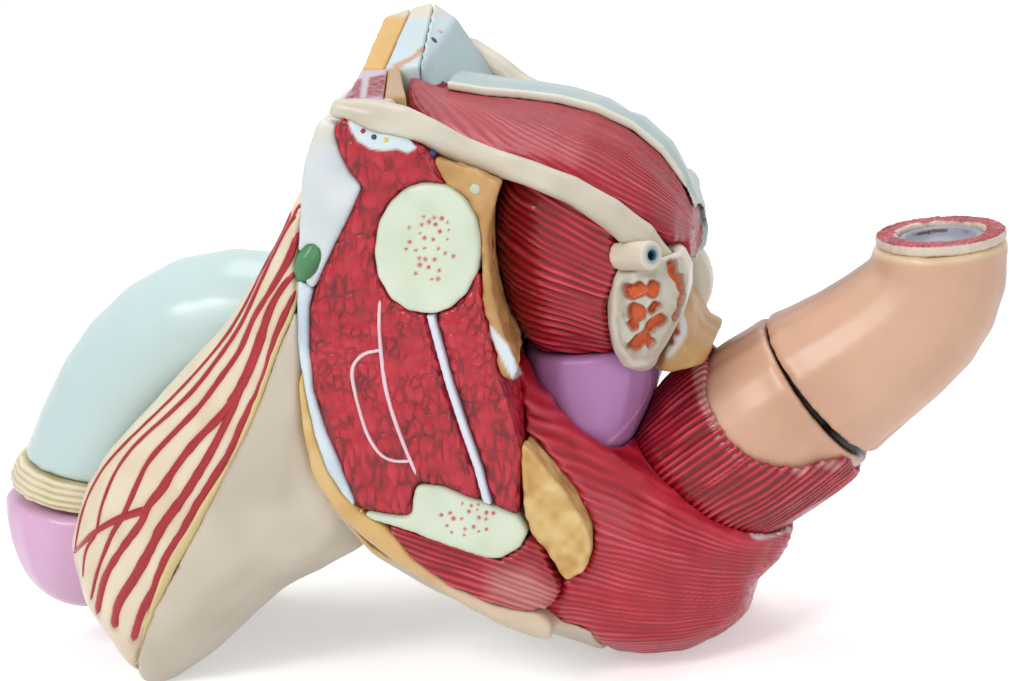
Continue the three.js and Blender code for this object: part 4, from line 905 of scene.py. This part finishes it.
# Rectum: a sleeve of lengthwise muscle, the flesh-coloured tube in two parts, which meet at a parting
# whose facing ends carry painted shade, nearly black, and the cut ring with its lumen on top.
RECTUM_AXIS = np.array([0.836, 0, 0.549]) / np.hypot(0.836, 0.549)
RECTUM_SIDE = np.array([-RECTUM_AXIS[2], 0, RECTUM_AXIS[0]])
PARTING_CENTRE = np.array([TARGET.x / MM + 69, 0, 55.7])
SLEEVE_RADIUS = 21
SLEEVE_FIBRE = 1.6
SLEEVE_EDGE = [(697, 345), (699, 370), (705, 400), (716, 422), (730, 440), (745, 452), (760, 460),
               (780, 466), (800, 468), (830, 463), (860, 458)]
TORN_EDGE = [(866, 457), (886, 447), (905, 430)]
CREAM_RIM_ABOVE = 85.6
RING_RADIUS = 14
FAT_STREAK = [(680, 312), (684, 326), (676, 342), (668, 352)]
FAT_STAINS = [(677, 332), (672, 342)]


def mould_sleeve(skin):
    offset = skin.points - PARTING_CENTRE
    around = np.arctan2(offset @ RECTUM_SIDE, offset[:, 1]) * SLEEVE_RADIUS
    ridge = fibres(skin, around, offset @ RECTUM_AXIS, SLEEVE_FIBRE, 101)
    fringe = skin.line(SLEEVE_EDGE, 3.2) * (0.3 + 0.7 * ridge)
    skin.rise(0.5 * (ridge - 0.5))
    # The fibre crests take the ridge colour, a painted highlight.
    skin.relief = 0.05 + 0.6 * ridge + 0.12 * skin.clouds(3, 102)
    skin.paint("fringe", 0.8 * fringe)


def mould_flesh(skin):
    offset = skin.points - PARTING_CENTRE
    along = offset @ RECTUM_AXIS
    # Painted shade: the ends that face each other across the parting are painted nearly black.
    cut = smooth_step((np.abs(skin.normals @ RECTUM_AXIS) - 0.93) / 0.05) * (np.abs(along) < 6)
    # Painted shade: the flesh darkens where its surface faces up, down or along the tube instead of to a
    # side.
    middle = smooth_step((0.6 - np.abs(skin.normals[:, 1])) / 0.6)
    skin.rise(0.1 * skin.clouds(14, 103))
    skin.relief = 0.6 + 0.3 * skin.clouds(18, 104) - 0.55 * middle
    skin.paint("cream", 0.9 * skin.above(CREAM_RIM_ABOVE, 1.6))
    skin.paint("red", skin.line(TORN_EDGE, 1.0) * (along > 2))
    skin.paint("parting_shade", cut)


def mould_ring(skin):
    grains = cells(skin.points, 1.0, 105)
    middle = (skin.points.min(axis=0) + skin.points.max(axis=0)) / 2
    away = np.hypot(*(skin.points - middle)[:, :2].T) + 0.5 * skin.clouds(1.8, 108)
    skin.rise(0.2 * (grains - 0.5))
    skin.relief = 0.2 + 0.6 * grains + 0.3 * skin.clouds(2.5, 106)
    skin.paint("lilac", smooth_step((skin.clouds(3.4, 109) - 0.15) / 0.3) * 0.5)
    outside = smooth_step((0.75 - skin.normals[:, 2]) / 0.3) * (away > 0.9 * RING_RADIUS)
    skin.paint("cream", np.maximum(smooth_step((0.72 * RING_RADIUS - away) / 0.5), outside))


def mould_lumen(skin):
    skin.relief = 0.5 + 0.3 * skin.clouds(4, 110)
    back = smooth_step((skin.clouds(2.2, 114) + 0.3) / 0.3) * (skin.points[:, 1] > 4)
    skin.paint("dark", back * (skin.normals[:, 2] < 0.6))


def mould_rectum_fat(skin):
    skin.rise(0.15 * skin.clouds(4, 107))
    skin.relief = 0.55 + 0.35 * skin.clouds(5, 108)
    skin.paint("pale", skin.line(FAT_STREAK, 2.4) * 0.85)
    skin.paint("stain", skin.spots(skin.on_surface(FAT_STAINS), 0.8))


cast("rectal_muscle", "cut_muscle", "striped_muscle_paint", voxel=1.0, rounds=70, grow=0.2,
     mould=mould_sleeve)
cast("lower_rectum", "flesh", "flesh_paint", voxel=0.7, levels=0, rounds=320, grow=0.05,
     mould=mould_flesh)
cast("rectovesical_fat", "fat", "fat_paint", voxel=0.5, levels=0, rounds=110, corner=0.6,
     mould=mould_rectum_fat)
cast("upper_rectum", "flesh", "flesh_paint", body="upper_rectum", voxel=0.7, levels=0, rounds=320,
     grow=0.05, mould=mould_flesh)
cast("rectum_cut_ring", "cut_muscle", "ring_paint", body="upper_rectum", voxel=0.45, rounds=6, levels=0,
     grow=0.2, mould=mould_ring)
cast("rectum_lining", "lumen", "lumen_paint", body="upper_rectum", voxel=0.5, levels=0, rounds=8,
     mould=mould_lumen)


# Bladder block: slanting fibres on the middle of the bladder, long fibres over its dome, the cut edge of
# the peritoneum, ductus and ureter, the opened seminal vesicle with its pits, and the prostate.
BLADDER_FOCUS = at_depth((1049, 478), -28)
DOME_FRONT = np.array([-10.0, 0, 131])
DOME_REAR = np.array([51.0, 0, 92])
DOME_RADIUS = 30
BLADDER_REACH, BLADDER_FIBRE, DOME_FIBRE = 118, 1.7, 1.4
BLADDER_FRINGE = [(628, 248), (652, 256), (640, 276), (616, 300), (612, 262)]
PERITONEUM_EDGE, PERITONEUM_FAR_EDGE, PERITONEUM_LOW_END = -2.5, 23, 68
PERITONEUM_SEAT = 0.9
VESICLE_FACE = [(616, 286), (626, 277), (652, 270), (672, 256), (684, 258), (689, 285), (681, 318),
                (668, 345), (650, 362), (634, 364), (621, 350), (614, 322)]
URETER_END, URETER_RIM, URETER_BORE = 3.6, 2.2, 1.45
PIT_DEPTH = 1.6
PIT_SHADE = 1.7
# Each pit has its middle, half width and half height in pixels, and its slant in degrees
VESICLE_PITS = [
    ((635, 291), (9, 6.5), -8), ((653.5, 289), (5.5, 7.5), 15), ((636.5, 313), (8, 7), 20),
    ((633, 325), (4, 5), -40), ((653.5, 308), (6, 4), -50), ((655, 324), (10, 5), -38),
    ((639, 342), (9.5, 5), -42), ((651, 343), (4, 3.5), -40), ((673.5, 270), (4.5, 8), -16),
    ((681, 284), (3.5, 7.5), -6), ((681, 300), (3, 7), 14), ((677, 314), (2.6, 6), 24),
]
PROSTATE_RIM = [(650, 376), (648, 392), (636, 414), (616, 436), (598, 450)]


def mould_bladder(skin):
    across, along = fan(skin.points, BLADDER_FOCUS, BLADDER_REACH)
    ridge = fibres(skin, across, along, BLADDER_FIBRE, 111)
    skin.rise(0.6 * (ridge - 0.5))
    # The fibre crests take the ridge colour, a painted highlight.
    skin.relief = 0.12 + 0.55 * ridge + 0.12 * skin.clouds(4, 112)
    skin.paint("fringe", 0.5 * skin.region(BLADDER_FRINGE, 12) * ridge)


def mould_dome(skin):
    axis = DOME_REAR - DOME_FRONT
    axis /= np.linalg.norm(axis)
    offset = skin.points - DOME_FRONT
    around = np.arctan2(offset @ np.cross((0, 1, 0), axis), offset[:, 1]) * DOME_RADIUS
    ridge = fibres(skin, around, offset @ axis, DOME_FIBRE, 121, 0.7)
    streak = clouds(np.stack([around / 1.6, offset @ axis / 22, np.zeros(len(around))], axis=1), 1, 124)
    beside = np.minimum(skin.points[:, 1] - PERITONEUM_EDGE + 1, PERITONEUM_FAR_EDGE - skin.points[:, 1])
    covered = smooth_step(beside) * skin.above(PERITONEUM_LOW_END, 3)
    bare = 0.2 * (ridge - 0.5) + 0.15 * skin.clouds(8, 122)
    skin.rise(bare * (1 - covered) - PERITONEUM_SEAT * covered)
    # Painted highlight: pale streaks along the dome's fibres.
    skin.relief = 0.2 + 0.3 * ridge + 0.24 * np.maximum(streak, 0) - 0.12 * skin.clouds(9, 123)


def mould_cream(skin):
    skin.rise(0.12 * skin.clouds(6, 131))
    skin.relief = 0.5 + 0.4 * skin.clouds(7, 132)


def mould_ureter(skin):
    centre = np.mean(skin.points, axis=0)
    vectors = np.linalg.eigh(np.cov((skin.points - centre).T))[1]
    axis = vectors[:, -1] * -np.sign(vectors[1, -1])
    offset = skin.points - centre
    along = offset @ axis
    away = np.linalg.norm(offset - along[:, None] * axis, axis=1)
    end = along > np.percentile(along, 97) - URETER_END
    skin.paint("lumen", smooth_step((URETER_BORE - away) / 0.3) * end)
    skin.paint("rim", smooth_step((URETER_RIM - away) / 0.4) * end)


def mould_vesicle(skin):
    place = pixels_of(skin.points)
    nearest, beyond = np.full((2, len(place)), 9.0)
    for centre, radii, slant in VESICLE_PITS:
        cos, sin = math.cos(math.radians(slant)), math.sin(math.radians(slant))
        for shift, least in ((0, nearest), (PIT_SHADE, beyond)):
            x, y = np.abs((place - shift - centre) @ [[cos, -sin], [sin, cos]] / radii).T
            np.minimum(least, (x ** 3 + y ** 3) ** (1 / 3), out=least)
    face = skin.region(VESICLE_FACE, 5)
    uneven = 0.3 * skin.clouds(1.3, 141)
    nearest, beyond = 0.86 * nearest + uneven, 0.86 * beyond + uneven
    pit = smooth_step((1.15 - nearest) / 0.3) * face
    brim = smooth_step((1.6 - nearest) / 0.4) * (1 - pit) * face
    skin.rise(-PIT_DEPTH * pit - 0.3 * face + 0.3 * brim + 0.2 * face * skin.clouds(1.6, 142)
              + 0.15 * skin.clouds(5, 144))
    skin.relief = 0.6 + 0.3 * skin.clouds(3, 143)
    skin.paint("grid", 0.8 * face)
    # Painted shade: a dark brown ring along the edge of each pit.
    skin.paint("pit_edge_shade", smooth_step((1.3 - nearest) / 0.2) * face * 0.6)
    skin.paint("pit", smooth_step((1.1 - nearest) / 0.2) * face)
    # Painted shadow: a dark crescent on the upper-left side inside each pit.
    skin.paint("pit_shadow", smooth_step((1.1 - nearest) / 0.2) * smooth_step((beyond - 0.95) / 0.2) * face * 0.8)


def mould_prostate(skin):
    rim = skin.line(PROSTATE_RIM, 0.9)
    skin.rise(0.15 * rim)
    skin.paint("rim", rim)


def mould_peritoneum(skin):
    skin.rise(0.1 * skin.clouds(8, 151))
    skin.paint("edge", smooth_step((1.1 - np.abs(skin.points[:, 1] - PERITONEUM_EDGE)) / 0.5))


cast("bladder_body", "cut_muscle", "striped_muscle_paint", body="bladder_block", voxel=1.0, rounds=90,
     mould=mould_bladder)
cast("bladder_dome", "cut_muscle", "dome_muscle_paint", body="bladder_block", voxel=1.0, rounds=110,
     mould=mould_dome)
cast("peritoneum", "peritoneum", "peritoneum_paint", body="bladder_block", voxel=0.4, rounds=40, grow=0.0,
     levels=0, pad=0.6, mould=mould_peritoneum)
near_ductus = cast_pair("ductus_deferens", "cream", "cream_paint", body="bladder_block", voxel=0.6,
                        levels=0, rounds=45, grow=0.15, mould=mould_cream)
dome("ductus_knob", near_ductus, (390, 101), 2.0, "cream", "cream_paint", body="bladder_block", flat=0.8)
cast_pair("ureter", "lumen", "ureter_paint", body="bladder_block", voxel=0.3, rounds=20, levels=0,
          mould=mould_ureter)
cast("seminal_vesicle_left", "cream", "vesicle_paint", body="bladder_block", voxel=0.6, rounds=32,
     grow=0.15, mould=mould_vesicle)
cast("seminal_vesicle_right", "cream", "cream_paint", body="bladder_block", voxel=0.7, levels=0,
     rounds=40, grow=0.15, mould=mould_cream)
cast("prostate", "prostate_violet", "prostate_paint", body="bladder_block", voxel=0.8, levels=0,
     rounds=170, mould=mould_prostate)


# Inner pieces keep their CAD shape and get plain paint: the core that the castings are glued to, the
# cartilage disc, the two pins and the peg.
for node, paint_name in (("inner_core", "core_paint"), ("pubic_symphysis", "membrane_paint"),
                         ("rectum_pin_lower", "pin_metal"), ("rectum_pin_upper", "pin_metal"),
                         ("prostate_peg", "pin_metal")):
    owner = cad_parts[node]
    owner.data.materials.clear()
    owner.data.materials.append(bpy.data.materials[paint_name])


# Studio: a pale floor, a large soft key from the upper left, a fill from the right and a top light. The
# camera sees floor and sky brighter than they light the object.
FLOOR_REACH, FLOOR_GLOW = 3.0, 0.42
AMBIENT = 0.38


def seen_directly(tree):
    """1 for rays that show the backdrop: from the camera, or through and off the object."""
    path = add(tree, "LightPath").outputs
    seen = worked_out(tree, "MAXIMUM", path["Is Camera Ray"], path["Is Glossy Ray"])
    return worked_out(tree, "MAXIMUM", seen, path["Is Transmission Ray"])


def stage_floor():
    mesh = bpy.data.meshes.new("floor")
    corners = [(x * FLOOR_REACH, y * FLOOR_REACH, 0) for x, y in ((-1, -1), (1, -1), (1, 1), (-1, 1))]
    mesh.from_pydata(corners, [], [(0, 1, 2, 3)])
    floor = new_piece("floor", mesh)
    material = bpy.data.materials.new("floor_paper")
    material.use_nodes = True
    tree = material.node_tree
    shader = tree.nodes["Principled BSDF"]
    shader.inputs["Base Color"].default_value = (0.9, 0.9, 0.9, 1)
    shader.inputs["Roughness"].default_value = 0.9
    shader.inputs["Emission Color"].default_value = (1, 1, 1, 1)
    glow = worked_out(tree, "MULTIPLY", seen_directly(tree), FLOOR_GLOW)
    tree.links.new(glow, shader.inputs["Emission Strength"])
    mesh.materials.append(material)


def soft_light(name, place, size, power):
    data = bpy.data.lights.new(name, "AREA")
    data.shape = "RECTANGLE"
    data.size, data.size_y = size
    data.energy = power
    lamp = bpy.data.objects.new(name, data)
    lamp.location = place
    lamp.rotation_euler = (Vector((0, 0, 0.06)) - Vector(place)).to_track_quat("-Z", "Y").to_euler()
    bpy.context.scene.collection.objects.link(lamp)


stage_floor()
soft_light("key", (-0.6, -1.1, 1.2), (0.6, 0.6), 12.5)
soft_light("fill", (1.0, -1.1, 0.5), (0.9, 0.9), 4)
soft_light("top", (0.1, 0.4, 1.4), (0.9, 0.9), 9)

world = bpy.data.worlds.new("studio")
world.use_nodes = True
sky = world.node_tree.nodes["Background"]
sky.inputs["Color"].default_value = (1, 1, 1, 1)
level = add(world.node_tree, "MapRange", inputs={"Value": seen_directly(world.node_tree),
                                                 "To Min": AMBIENT, "To Max": 1.0})
world.node_tree.links.new(level.outputs["Result"], sky.inputs["Strength"])
bpy.context.scene.world = world
bpy.context.scene.view_settings.view_transform = "Standard"
